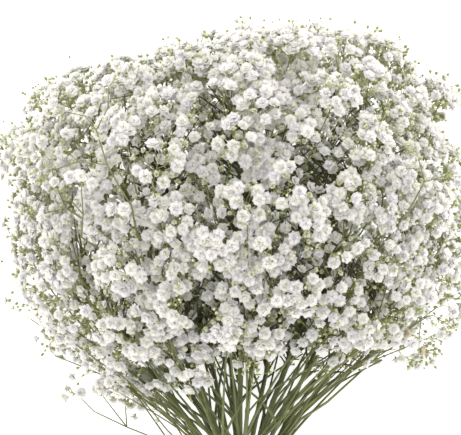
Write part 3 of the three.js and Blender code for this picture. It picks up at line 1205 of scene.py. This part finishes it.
def grow_drawn(course, forks, height, girth):
    """A twig with its forks through given places. height(x, y) is how high it runs there."""
    growth = growth_at(Vector((*course[0], height(*course[0]))))
    bends = [Vector((x, y, height(x, y))) for x, y in course]
    start, along = growth.stem.leaving(max(DRAWN["lowest"], bends[0].y - DRAWN["back"]))
    root_radii = girth * np.linspace(DRAWN["root"], DRAWN["fork"], DRAWN["root_points"])
    root = bent(start, along, bends[0], root_radii, DRAWN["lean"])
    radii = np.linspace(girth * DRAWN["fork"], DRAWN["end"], len(bends))
    paths = [root[:-1] + list(zip(bends, radii))]
    for fork in forks:
        places = [Vector((x, y, height(x, y))) for x, y in fork]
        radii = np.linspace(DRAWN["side_fork"] * DRAWN["fork"], DRAWN["end"], len(places))
        paths.append(list(zip(places, radii)))
    for path in paths:
        growth.twigs.append(path)
        for _ in range(DRAWN["sprigs"]):
            grow_sprig(growth, path[-1][0], growth.jitter(direction(path), DRAWN["spread"]), "short")


for twigs, height, girth in (
    (TWIGS_ON_TOP, on_top, THIN), (TWIGS_BELOW, in_front, THIN), (STRONG_BELOW, in_front, STRONG),
):
    for course, forks in twigs:
        grow_drawn(course, forks, height, girth)
tell("single twigs")

# %% [markdown]
# ## A thicket inside
# Behind the flowers one looks into a thicket of green. Each stem gets forty short side twigs that
# spiral round it by the golden angle, as shoots do, so that no two lie over each other. A twig that
# would come out of the head is made shorter. Those in the middle of the bunch get a darker colour,
# which is painted shade, because little light gets there.

# %% The thicket
GOLDEN_ANGLE = math.radians(137.5)
STEM_END = 0.96  # the highest place on a stem where a twig starts, as a share of its height
# dark: twigs nearer than this to the middle (mm) get the darker colour of painted shade
THICKET = {
    "twigs": 40, "lowest": 88, "length": (30, 62), "shortest": 12, "shorter": 0.8, "deepest": 0.84,
    "radii": np.linspace(0.8, 0.4, 5), "over_table": 4, "ends": 2, "aside": (4, 9), "spread": 0.9,
    "flowers": 0.3, "dark": 75,
}


def grow_thicket(growth):
    stem, turn = growth.stem, growth.turn()
    for k in range(THICKET["twigs"]):
        turn += GOLDEN_ANGLE
        room = STEM_END * stem.top - THICKET["lowest"]
        start, along = stem.leaving(THICKET["lowest"] + room * k / THICKET["twigs"])
        along = along.normalized()
        away = (along + Matrix.Rotation(turn, 3, along) @ along.orthogonal().normalized()).normalized()
        length = growth.between(*THICKET["length"])
        while length > THICKET["shortest"] and gauge_at(start + length * away) > THICKET["deepest"]:
            length *= THICKET["shorter"]
        end = lift_off_table(start + length * away, THICKET["over_table"])
        twig = bent(start, along, end, THICKET["radii"])
        # twigs in the middle of the bunch take the painted-shade colour
        (growth.inner if abs(end.x) < THICKET["dark"] else growth.twigs).append(twig)
        for place, _ in twig[-THICKET["ends"]:]:
            aside = place + growth.between(*THICKET["aside"]) * growth.jitter(away, THICKET["spread"])
            if growth.draw() > THICKET["flowers"]:
                plant_bud(growth, place, away, aside)
            elif not in_hollow(aside) and not under_hem(aside):
                plant_flower(growth, place, away, aside, "deep", hidden=True)


for growth in growths:
    grow_thicket(growth)
tell("with the thicket")

# %% [markdown]
# ## Nests under the hollows
# An open hollow would show the table. In a real bunch one sees a tangle of bare twigs in shade there,
# so under each hollow every stem tries many, and keeps those that stay in its own room. Their darker
# colour is painted shade.

# %% Nests of bare twigs
NEST = {
    "twigs": 38, "depth": (-0.2, 0.4), "below": (20, 60), "highest": 0.94, "aside": 26, "past": 0.3,
    "radii": np.linspace(0.9, 0.4, 5),
}


def grow_nests(growth):
    stem = growth.stem
    for x, y, radius in HOLLOWS:
        for _ in range(NEST["twigs"]):
            turn, aside = growth.turn(), radius * math.sqrt(growth.draw())
            depth = HEAD["up"] * growth.between(*NEST["depth"])
            end_y = y + aside * math.sin(turn) + NEST["past"] * radius
            end = Vector((x + aside * math.cos(turn), end_y, depth))
            leaves = min(end.y - growth.between(*NEST["below"]), NEST["highest"] * stem.top)
            sway = NEST["aside"] * shaken(growth.draw, 1)
            if nearest_stem(end + sway) is stem:
                start = stem.point(leaves)
                # nest twigs take the darker colour of painted shade
                growth.inner.append(curved(start, start.lerp(end, 0.5) + sway, end, NEST["radii"]))


for growth in growths:
    grow_nests(growth)
tell("with the nests")

# %% [markdown]
# ## Twigs to the fillers
# The flowers deep in the head have to hang on something too. Each gets a twig of its own, from the
# stem whose room it is in.

# %% Growing the fillers
FILL_TWIG = {"below": 36, "lowest": 62, "reach": 0.85}


def grow_fillers(places):
    for point in places:
        growth = growth_at(point)
        leaves = max(point.y - FILL_TWIG["below"], FILL_TWIG["lowest"])
        start, along = growth.stem.leaving(min(leaves, STEM_END * growth.stem.top))
        twig = bent(start, along, start.lerp(point, FILL_TWIG["reach"]), THICKET["radii"])
        # a filler's twig takes the darker colour of painted shade
        growth.inner.append(twig)
        plant_flower(growth, twig[-1][0], direction(twig), point, "deep", hidden=True)


grow_fillers(fillers)
tell("with the fillers")

# %% [markdown]
# ## Strong side branches
# Just above the band each stem already has a few strong side branches, as thick as a match at their
# root. They make the sheaf of green that shows under the head. They run up towards a tip and end
# before it. One whose end would show outside the head runs on to the tip, where flowers hide it.

# %% Side branches
BRANCHES = {
    "each": 3, "outermost": 1, "outermost_from": 8, "leaves": (9, 60), "reach": 0.78, "inside": 0.94,
    "on_reach": 0.97, "radii": np.linspace(1.2, 0.5, 10), "lean": 0.2, "choice": 30, "aim": 0.7,
}


def grow_branches(growth):
    stem = growth.stem
    aim = stem.point(BRANCHES["aim"] * stem.top)
    near = sorted(tips, key=lambda tip: (tip - aim).length)[:BRANCHES["choice"]]
    outermost = abs(stem.u) > BRANCHES["outermost_from"]
    for _ in range(BRANCHES["outermost" if outermost else "each"]):
        tip = growth.one_of(near)
        start, along = stem.leaving(growth.between(*BRANCHES["leaves"]))
        end = start.lerp(tip, BRANCHES["reach"])
        if gauge_at(end) > BRANCHES["inside"]:
            end = start.lerp(tip, BRANCHES["on_reach"])
        growth.branches.append(bent(start, along, end, BRANCHES["radii"], BRANCHES["lean"]))


for growth in growths:
    grow_branches(growth)
tell("with the side branches")

# %% [markdown]
# ## Outriders
# Thin twigs also run over the flowers at places that only chance knows. They leave the stem deep in
# the head, bulge outwards and come down on a tip. One that would leave the plain model's box, or
# pass under the hem, is left out.

# %% Twigs that run over the flowers
OUTRIDERS = {
    "each": 2, "leaves": (0.42, 0.7), "middle": 0.55, "bulge": (12, 26), "proud": 3,
    "radii": np.linspace(0.6, 0.34, 9), "shows_from": 3, "clear": 1, "sprigs": 4,
}


def grow_outriders(growth):
    stem = growth.stem
    for _ in range(OUTRIDERS["each"] if stem.tips else 0):
        tip = growth.one_of(stem.tips)
        outward = outward_at(tip)
        end = tip + OUTRIDERS["proud"] * outward
        start = stem.point(stem.top * growth.between(*OUTRIDERS["leaves"]))
        bend = start.lerp(end, OUTRIDERS["middle"]) + growth.between(*OUTRIDERS["bulge"]) * outward
        twig = curved(start, bend, end, OUTRIDERS["radii"])
        shown = [place for place, _ in twig[OUTRIDERS["shows_from"]:]]
        if not all(inside(place, OUTRIDERS["clear"]) and not under_hem(place) for place in shown):
            continue
        growth.twigs.append(twig)
        for place, _ in twig[-OUTRIDERS["sprigs"]:]:
            grow_sprig(growth, place, (direction(twig) + outward).normalized(), "short")


for growth in growths:
    grow_outriders(growth)
tell("with the outriders")

# %% [markdown]
# ## Side shoots
# The outer stems also shoot low down. These shoots make the thin fringe on either side of the bunch:
# at the left they start lower and hang deeper, and at the right they keep close to the head. Each
# aims at a place on the underside of the head and carries sprigs near its end, where it is near
# enough to the other flowers.

# %% Side shoots
SHOOTS = {
    "bearing": (-36, 42), "flat": 0.62, "lean": 0.2, "over_table": 9,
    "left": {"each": 3, "leaves": (9, 32), "reach": (60, 138), "drop": (-16, 4), "hang": 24},
    "right": {"each": 2, "leaves": (26, 66), "reach": (98, 138), "drop": (7, 34), "hang": -6},
    "radii": np.linspace(0.72, 0.34, 9), "sprigs": 4,
}


def underside(x, z):
    """How low the head comes at a place of its cross-section, along the bunch."""
    room = max(1 - depth_share(z), 0) ** (HEAD["sides"] / HEAD["top"]) - flat_share(x, 0)
    return HEAD["centre"] - HEAD["length"] * max(room, 0) ** (1 / HEAD["sides"])


def grow_shoots(growth):
    stem = growth.stem
    side = SHOOTS["left" if stem.u < 0 else "right"]
    for _ in range(side["each"]):
        bearing = math.radians(growth.between(*SHOOTS["bearing"]))
        reach = growth.between(*side["reach"])
        x, z = math.copysign(reach * math.cos(bearing), stem.u), SHOOTS["flat"] * reach * math.sin(bearing)
        end = Vector((x, underside(x, z) + growth.between(*side["drop"]), z))
        end = lift_off_table(end, SHOOTS["over_table"])
        start, along = stem.leaving(growth.between(*side["leaves"]))
        shoot = bent(start, along, end, SHOOTS["radii"], SHOOTS["lean"])
        growth.twigs.append(shoot)
        for place, _ in shoot[-SHOOTS["sprigs"]:]:
            if place.y > underside(place.x, 0) - side["hang"]:
                grow_sprig(growth, place, direction(shoot))


for growth in growths:
    if growth.stem.name.startswith("outer"):
        grow_shoots(growth)
tell("with the side shoots")

# %% [markdown]
# ## Main twigs with their clusters
# Now the stem throws out the twigs that carry most of the flowers. Its tips are cut into groups of
# about six neighbours. The lowest group is fed by the lowest twig, so that twigs don't cross, and
# from the last part of each twig the branchlets go to its clusters one after the other.

# %% Main twigs
TWIG = {
    "per_twig": 6, "lowest": 0.4, "highest": 0.96, "alone": 0.8, "radii": np.linspace(0.9, 0.56, 6),
    "reach": 0.66, "lean": 0.45, "stem_end": 20, "forks_after": 2, "forks_from": 0.6, "forks_over": 0.36,
}


def grow_main_twigs(growth):
    stem = growth.stem
    end = stem.point(stem.top)
    axis = (end - stem.point(stem.top - TWIG["stem_end"])).normalized()
    ordered = by_bearing(stem.tips, end, axis)
    groups = split(ordered, max(1, round(len(ordered) / TWIG["per_twig"]))) if ordered else []
    groups.sort(key=lambda group: middle_of(group).y)
    for g, group in enumerate(groups):
        share = g / (len(groups) - 1) if len(groups) > 1 else TWIG["alone"]
        share = TWIG["lowest"] + share * (TWIG["highest"] - TWIG["lowest"])
        start, along = stem.leaving(stem.top * share)
        fork = start.lerp(middle_of(group), TWIG["reach"])
        twig = bent(start, along, fork, TWIG["radii"], TWIG["lean"])
        growth.twigs.append(twig)
        for k, tip in enumerate(group):
            at = TWIG["forks_from"] + TWIG["forks_over"] * k / max(len(group) - 1, 1)
            root = twig[TWIG["forks_after"]][0].lerp(twig[-1][0], at)
            if clusters[tuple(tip)]:
                grow_cluster(growth, root, direction(twig), tip)


for growth in growths:
    grow_main_twigs(growth)
tell("with the main twigs")

# %% [markdown]
# ## The last gaps
# Buds took the place of some flowers, and others are small cups, so the grown head has new gaps
# through which the table shows. Now that every floret's real size is known, they can be found. The
# camera looks down from a finite height, and a high floret seems to stand further out than it does,
# so all places are compared as the camera sees them. Under each gap one more flower goes deep into
# the head.

# %% Flowers under the last gaps
VIEW = {"centre": (-6.2, 190, 0), "width": 300, "distance": 1400}  # what the camera frames, in mm
PATCH = {"seed": 11, "tries": 30000, "full_size": 2.9, "near": 3.2, "apart": 4.2, "height": (-0.5, -0.2)}


def as_seen(point):
    """Where a point seems to be in the plane that the camera is aimed at."""
    centre, distance = Vector(VIEW["centre"]), VIEW["distance"]
    shift = (point - centre) * distance / (distance - point.z)
    return Vector((shift.x + centre.x, shift.y + centre.y, 0))


def behind(spot, z):
    """The point at a height that the camera sees at a spot of that plane."""
    centre, distance = Vector(VIEW["centre"]), VIEW["distance"]
    place = centre + (spot - centre) * (distance - z) / distance
    return Vector((place.x, place.y, z))


def scatter_patches(florets):
    """florets: (place, radius) of each that is there already."""
    covered, patched, found = Grid(PLAN_PITCH), Grid(PLAN_PITCH), []
    for place, radius in florets:
        if radius > PATCH["full_size"]:
            covered.add(as_seen(place))
    draw = seeded_random(PATCH["seed"])
    for _ in range(PATCH["tries"]):
        spot = place_to_fill(draw)
        if spot is None or covered.crowded(spot, PATCH["near"]) or patched.crowded(spot, PATCH["apart"]):
            continue
        patched.add(spot)
        found.append(behind(spot, HEAD["up"] * between(draw, *PATCH["height"])))
    return found


florets = [(matrix.translation, matrix.median_scale) for g in growths for _, matrix, _ in g.flowers]
patches = scatter_patches(florets)
grow_fillers(patches)
tell(f"with {len(patches)} flowers under the last gaps")

# %% [markdown]
# ## A mottle for every finish
# Nothing on a plant is one flat colour. A soft mottle, a noise on the object's own coordinates, is
# used by every finish, so it is a node group that is built once and placed with its own scale.

# %% A shared mottle
MOTTLE_SCALE = 100
MOTTLE_DETAIL = 3
MOTTLE_SPAN = {"From Min": 0.3, "From Max": 0.7}


def make_mottle():
    group = bpy.data.node_groups.new("mottle", "ShaderNodeTree")
    scale = group.interface.new_socket("Scale", in_out="INPUT", socket_type="NodeSocketFloat")
    scale.default_value = MOTTLE_SCALE
    group.interface.new_socket("Mask", in_out="OUTPUT", socket_type="NodeSocketFloat")
    nodes, links = group.nodes, group.links
    inward, outward = nodes.new("NodeGroupInput"), nodes.new("NodeGroupOutput")
    place, cloud = nodes.new("ShaderNodeTexCoord"), nodes.new("ShaderNodeTexNoise")
    stretch = nodes.new("ShaderNodeMapRange")
    cloud.inputs["Detail"].default_value = MOTTLE_DETAIL
    for socket, value in MOTTLE_SPAN.items():
        stretch.inputs[socket].default_value = value
    links.new(place.outputs["Object"], cloud.inputs["Vector"])
    links.new(inward.outputs["Scale"], cloud.inputs["Scale"])
    links.new(cloud.outputs["Fac"], stretch.inputs["Value"])
    links.new(stretch.outputs["Result"], outward.inputs["Mask"])
    return group


MOTTLE = make_mottle()
print("nodes in the mottle:", len(MOTTLE.nodes))

# %% [markdown]
# ## Building a finish
# Every material below is a Principled shader whose colour comes out of a few nodes. A small class
# keeps the wiring short: it adds a node and gives back its output. The numbers that are the same
# all over a surface are set on the shader itself.

# %% A finish under construction
class Finish:
    def __init__(self, name, **numbers):
        self.material = bpy.data.materials.new(name)
        self.material.use_nodes = True
        self.nodes, self.links = self.material.node_tree.nodes, self.material.node_tree.links
        self.shader = self.nodes["Principled BSDF"]
        for socket, value in numbers.items():
            self.shader.inputs[socket.replace("_", " ")].default_value = value

    def mottle(self, scale):
        node = self.nodes.new("ShaderNodeGroup")
        node.node_tree = MOTTLE
        node.inputs["Scale"].default_value = scale
        return node.outputs["Mask"]

    def copied(self):
        """The two numbers of the copies' UV map: the way along a petal or bud, and the tint."""
        uv, parts = self.nodes.new("ShaderNodeUVMap"), self.nodes.new("ShaderNodeSeparateXYZ")
        uv.uv_map = PETAL_UV
        self.links.new(uv.outputs["UV"], parts.inputs["Vector"])
        return parts.outputs["X"], parts.outputs["Y"]

    def ramp(self, value, stops):
        """stops: (position, colour)."""
        node = self.nodes.new("ShaderNodeValToRGB")
        self.links.new(value, node.inputs["Fac"])
        elements = node.color_ramp.elements
        while len(elements) < len(stops):
            elements.new(1)
        for element, (position, colour) in zip(elements, stops):
            element.position, element.color = position, (*colour, 1)
        return node.outputs["Color"]

    def mix(self, share, first, second, blend="MIX"):
        node = self.nodes.new("ShaderNodeMix")
        node.data_type, node.blend_type = "RGBA", blend
        if isinstance(share, float):
            node.inputs["Factor"].default_value = share
        else:
            self.links.new(share, node.inputs["Factor"])
        for socket, colour in (("A", first), ("B", second)):
            entry = [i for i in node.inputs if i.name == socket and i.type == "RGBA"][0]
            if isinstance(colour, tuple):
                entry.default_value = (*colour, 1)
            else:
                self.links.new(colour, entry)
        return [o for o in node.outputs if o.type == "RGBA"][0]

    def times(self, first, second):
        return self.mix(1.0, first, second, "MULTIPLY")

    def colour(self, output):
        self.links.new(output, self.shader.inputs["Base Color"])
        return self.material


# %% [markdown]
# ## Petals
# The petals are white paper, thin enough to glow: some of the light that enters a floret comes out
# of it elsewhere, so the shader gets a little subsurface. Old and young flowers differ by a tint:
# most are clean white, some lean to lavender grey or cream, opening ones are green, and spent ones
# have gone to straw. The heart of each floret is greener and darker.

# %% Petal finish
GLOW = (1.0, 1.0, 0.8)
WHITE = (1.0, 1.0, 1.0)
DUSK = (0.965, 0.955, 0.90)
PETAL_TINTS = [
    (0.0, (0.93, 0.905, 0.95)),
    (0.25, (0.96, 0.94, 0.94)),
    (0.8, (0.97, 0.955, 0.91)),
    (0.9, (0.78, 0.80, 0.55)),
    (0.97, (0.58, 0.49, 0.36)),
]
HEART = [(0.0, (0.88, 0.87, 0.72)), (0.4, (0.985, 0.98, 0.94)), (0.7, (1, 1, 1))]


def petal_finish():
    finish = Finish("petals", Roughness=0.7, Subsurface_Weight=0.65, Subsurface_Scale=0.003)
    finish.shader.inputs["Subsurface Radius"].default_value = GLOW
    reach, tint = finish.copied()
    body, heart = finish.ramp(tint, PETAL_TINTS), finish.ramp(reach, HEART)
    tinted = finish.times(body, heart)
    return finish.colour(finish.times(tinted, finish.mix(finish.mottle(scale=160), WHITE, DUSK)))


PETALS = petal_finish()
print("nodes in the petals' finish:", len(PETALS.node_tree.nodes))

# %% [markdown]
# ## Buds and greens
# Buds are pearls, greener at the base where the calyx holds them. Calyxes, threads and twigs are a
# light yellow green, and the stems are darker and more olive. The twigs deep in the bunch are painted
# nearly brown: that is painted shade, because little light gets there. The cut ends are pale, because
# one looks at the pith there.

# %% Bud, calyx and stem finishes
BUD_SKIN = [(0.25, (0.30, 0.34, 0.12)), (0.6, (0.54, 0.57, 0.30)), (1, (0.80, 0.79, 0.66))]
BUD_TINTS = [(0.0, (0.58, 0.62, 0.44)), (0.6, (1.0, 1.0, 1.0))]


def bud_finish():
    finish = Finish("buds", Roughness=0.5, Subsurface_Weight=0.2, Subsurface_Scale=0.001)
    along, tint = finish.copied()
    return finish.colour(finish.times(finish.ramp(along, BUD_SKIN), finish.ramp(tint, BUD_TINTS)))


def mottled_finish(name, dark, light, scale, roughness):
    finish = Finish(name, Roughness=roughness)
    return finish.colour(finish.mix(finish.mottle(scale), dark, light))


GREEN_SKINS = {  # darkest and lightest colour, scale of the mottle, roughness
    "calyxes": ((0.26, 0.29, 0.09), (0.42, 0.45, 0.18), 120, 0.6),
    "threads": ((0.36, 0.38, 0.14), (0.58, 0.60, 0.28), 70, 0.55),
    "twigs": ((0.13, 0.138, 0.042), (0.26, 0.268, 0.10), 70, 0.55),
    # painted shade: the twigs deep in the bunch are darkened in their colour, as little light gets there
    "painted_shade_twigs": ((0.055, 0.055, 0.02), (0.12, 0.12, 0.045), 80, 0.65),
    "stalks": ((0.07, 0.088, 0.023), (0.175, 0.198, 0.062), 60, 0.45),
    "pith": ((0.50, 0.55, 0.30), (0.66, 0.68, 0.45), 900, 0.8),
}
BUDS = bud_finish()
SKINS = {name: mottled_finish(name, *look) for name, look in GREEN_SKINS.items()}
CALYX = SKINS["calyxes"]
print("finishes:", ["petals", "buds", *SKINS])

# %% [markdown]
# ## The green of a stem
# All tubes of a growth go into one mesh, each kind with its own number of sides and its own finish.
# The cut end is the only large flat face down there. It is inset and sunk a little, because the pith
# shrinks back from the rim.

# %% The green piece of a stem
GREENS = ("stalks", "twigs", "threads", "painted_shade_twigs", "pith")
CUT = {"within": 1, "rim": 0.6, "sunk": -0.25}


def smooth(mesh):
    mesh.polygons.foreach_set("use_smooth", np.ones(len(mesh.polygons), bool))


def green_piece(growth):
    bm = bmesh.new()
    add_tubes(bm, growth.thick, "stem", GREENS.index("stalks"))
    add_tubes(bm, growth.branches, "branch", GREENS.index("stalks"))
    add_tubes(bm, growth.twigs, "twig", GREENS.index("twigs"))
    add_tubes(bm, growth.threads, "thread", GREENS.index("threads"))
    # the twigs deep in the bunch get the darker colour of painted shade
    add_tubes(bm, growth.inner, "twig", GREENS.index("painted_shade_twigs"))
    bmesh.ops.recalc_face_normals(bm, faces=bm.faces[:])
    low = STEM["cut_end"] + CUT["within"]
    cut = [f for f in bm.faces if len(f.verts) > 4 and f.calc_center_median().y < low]
    bmesh.ops.inset_individual(bm, faces=cut, thickness=CUT["rim"], depth=CUT["sunk"])
    for face in cut:
        face.material_index = GREENS.index("pith")
    mesh = bpy.data.meshes.new(f"{growth.stem.name}_green")
    bm.to_mesh(mesh)
    bm.free()
    mesh.transform(LIE)
    for vert in mesh.vertices:
        vert.co.z = max(vert.co.z, 0)  # the lowest cut end is pressed flat on the table
    smooth(mesh)
    for name in GREENS:
        mesh.materials.append(SKINS[name])
    return link(mesh.name, mesh)


# %% [markdown]
# ## Dressing each stem
# A stem becomes three pieces: its green, its open flowers and its buds. All three stand in for the
# plain stem, and ride with the bunch.

# %% Three pieces a stem
def triangles(piece):
    return sum(len(polygon.vertices) - 2 for polygon in piece.data.polygons)


total = 0
for growth in growths:
    name = growth.stem.name
    dressed = [
        (green_piece(growth), "green_stem"),
        (copies(f"{name}_flowers", growth.flowers, (PETALS, CALYX)), "flowering_stem"),
        (copies(f"{name}_buds", growth.buds, (BUDS, CALYX)), "flower_bud"),
    ]
    for piece, slot in dressed:
        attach(piece, "root")
        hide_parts(name)
    counts = [triangles(piece) for piece, _ in dressed]
    total += sum(counts)
    print(name, counts)
print("triangles in the stems:", total)

# %% [markdown]
# ## The elastic band
# One natural rubber band is wound four times round the stems. Each turn is a rounded strand, spun
# round the bunch, and the turns lie side by side.

# %% Winding the band
BAND = {"turns": 4, "width": 12, "outer": 14.95, "strand": 1.5, "strand_sides": 12, "steps": 72}
RUBBER = mottled_finish("rubber", (0.42, 0.23, 0.085), (0.55, 0.34, 0.15), scale=300, roughness=0.55)
WELD = 0.001  # millimetres


def band_piece():
    bm = bmesh.new()
    pitch = BAND["width"] / BAND["turns"]
    ring = BAND["outer"] - BAND["strand"] / 2
    for turn in range(BAND["turns"]):
        y = -BAND["width"] / 2 + (turn + 0.5) * pitch
        made = bmesh.ops.create_circle(bm, cap_ends=False, segments=BAND["strand_sides"], radius=1)
        verts = made["verts"]
        bmesh.ops.scale(bm, vec=(BAND["strand"] / 2, pitch / 2, 1), verts=verts)
        bmesh.ops.translate(bm, vec=(ring, y, 0), verts=verts)
        edges = list(dict.fromkeys(edge for vert in verts for edge in vert.link_edges))
        bmesh.ops.spin(
            bm, geom=verts + edges, cent=(0, 0, 0), axis=(0, 1, 0), angle=math.tau,
            steps=BAND["steps"], use_merge=True,
        )
    bmesh.ops.remove_doubles(bm, verts=bm.verts[:], dist=WELD)
    bmesh.ops.recalc_face_normals(bm, faces=bm.faces[:])
    mesh = bpy.data.meshes.new("elastic_band")
    bm.to_mesh(mesh)
    bm.free()
    mesh.transform(LIE)
    smooth(mesh)
    mesh.materials.append(RUBBER)
    return link("elastic_band", mesh)


band = band_piece()
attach(band, "root")
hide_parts("binding_band")
print("elastic band:", triangles(band), "triangles")

# %% [markdown]
# ## The table
# The bunch lies on a plain pale sheet that is lit from below a little, as for cut-out pictures, so
# that the shadows on it stay faint.

# %% A table that glows
TABLE = {"half": 4, "colour": (0.93, 0.93, 0.93, 1), "glow": 0.5}


def table_top():
    bm = bmesh.new()
    bmesh.ops.create_grid(bm, x_segments=1, y_segments=1, size=TABLE["half"])
    mesh = bpy.data.meshes.new("table_top")
    bm.to_mesh(mesh)
    bm.free()
    finish = Finish("table", Base_Color=TABLE["colour"], Roughness=0.9)
    finish.shader.inputs["Emission Color"].default_value = (1, 1, 1, 1)
    finish.shader.inputs["Emission Strength"].default_value = TABLE["glow"]
    mesh.materials.append(finish.material)
    return link("table_top", mesh)


table_top()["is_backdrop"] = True
print("table:", 2 * TABLE["half"], "metres square")

# %% [markdown]
# ## Light
# A bright, even sky does most of the work. One soft key light, high and a little to the left, gives
# the florets their shadows, and three low lamps round the head look in under it. A key light alone
# would leave the sides dark, and a sky alone would leave the florets flat.

# %% Lamps and sky
KEY = {"place": (-0.5, 0.4, 1.7), "size": 0.7, "power": 2.3}
LOW_LAMPS = {"left": (-1.3, 0.1, 0.5), "right": (1.3, 0.1, 0.5), "end": (0, 1.5, 0.6)}
LOW_LAMP = {"size": 0.8, "power": 6}
SKY_STRENGTH = 0.97


def soft_light(name, place, aim, size, power):
    light = bpy.data.lights.new(name, "AREA")
    light.shape, light.size, light.energy = "DISK", size, power
    lamp = link(name, light)
    lamp.location = place
    lamp.rotation_euler = (Vector(aim) - Vector(place)).to_track_quat("-Z", "Y").to_euler()


def even_sky():
    world = bpy.data.worlds.new("sky")
    world.use_nodes = True
    background = world.node_tree.nodes["Background"]
    background.inputs["Color"].default_value = (1, 1, 1, 1)
    background.inputs["Strength"].default_value = SKY_STRENGTH
    bpy.context.scene.world = world


head_middle = LIE @ Vector((0, HEAD["centre"], 0))
soft_light("key", KEY["place"], head_middle, KEY["size"], KEY["power"])
for name, place in LOW_LAMPS.items():
    soft_light(name, place, head_middle, LOW_LAMP["size"], LOW_LAMP["power"])
even_sky()
bpy.context.scene.view_settings.view_transform = "Standard"
print("lamps:", len(bpy.data.lights))

# %% [markdown]
# ## The camera
# The camera looks square onto the bunch's axis from above, through a long lens, so that near and far
# flowers are almost the same size. It is tilted as the bunch is.

# %% Camera
def look_at_bunch():
    data = bpy.data.cameras.new("camera")
    data.lens = data.sensor_width * VIEW["distance"] / VIEW["width"]
    camera = link("camera", data)
    x, y, z = VIEW["centre"]
    camera.location = LIE @ Vector((x, y, z + VIEW["distance"]))
    camera.rotation_euler = (TILT, 0, 0)
    bpy.context.scene.camera = camera
    return camera


camera = look_at_bunch()
print("camera at", [round(c, 3) for c in camera.location], "with a lens of", round(camera.data.lens), "mm")

# %% [markdown]
# ## The size, measured
# The finished bunch is meant to fill the plain model's box and stay inside it. Both boxes are printed,
# in metres.

# %% Measuring and finishing
bunch_box = [list(corner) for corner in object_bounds()]
for axis, low, high, a, b in zip("XYZ", *model_box, *bunch_box):
    print(f"{axis}: model {low:.4f} to {high:.4f}, bunch {a:.4f} to {b:.4f}")
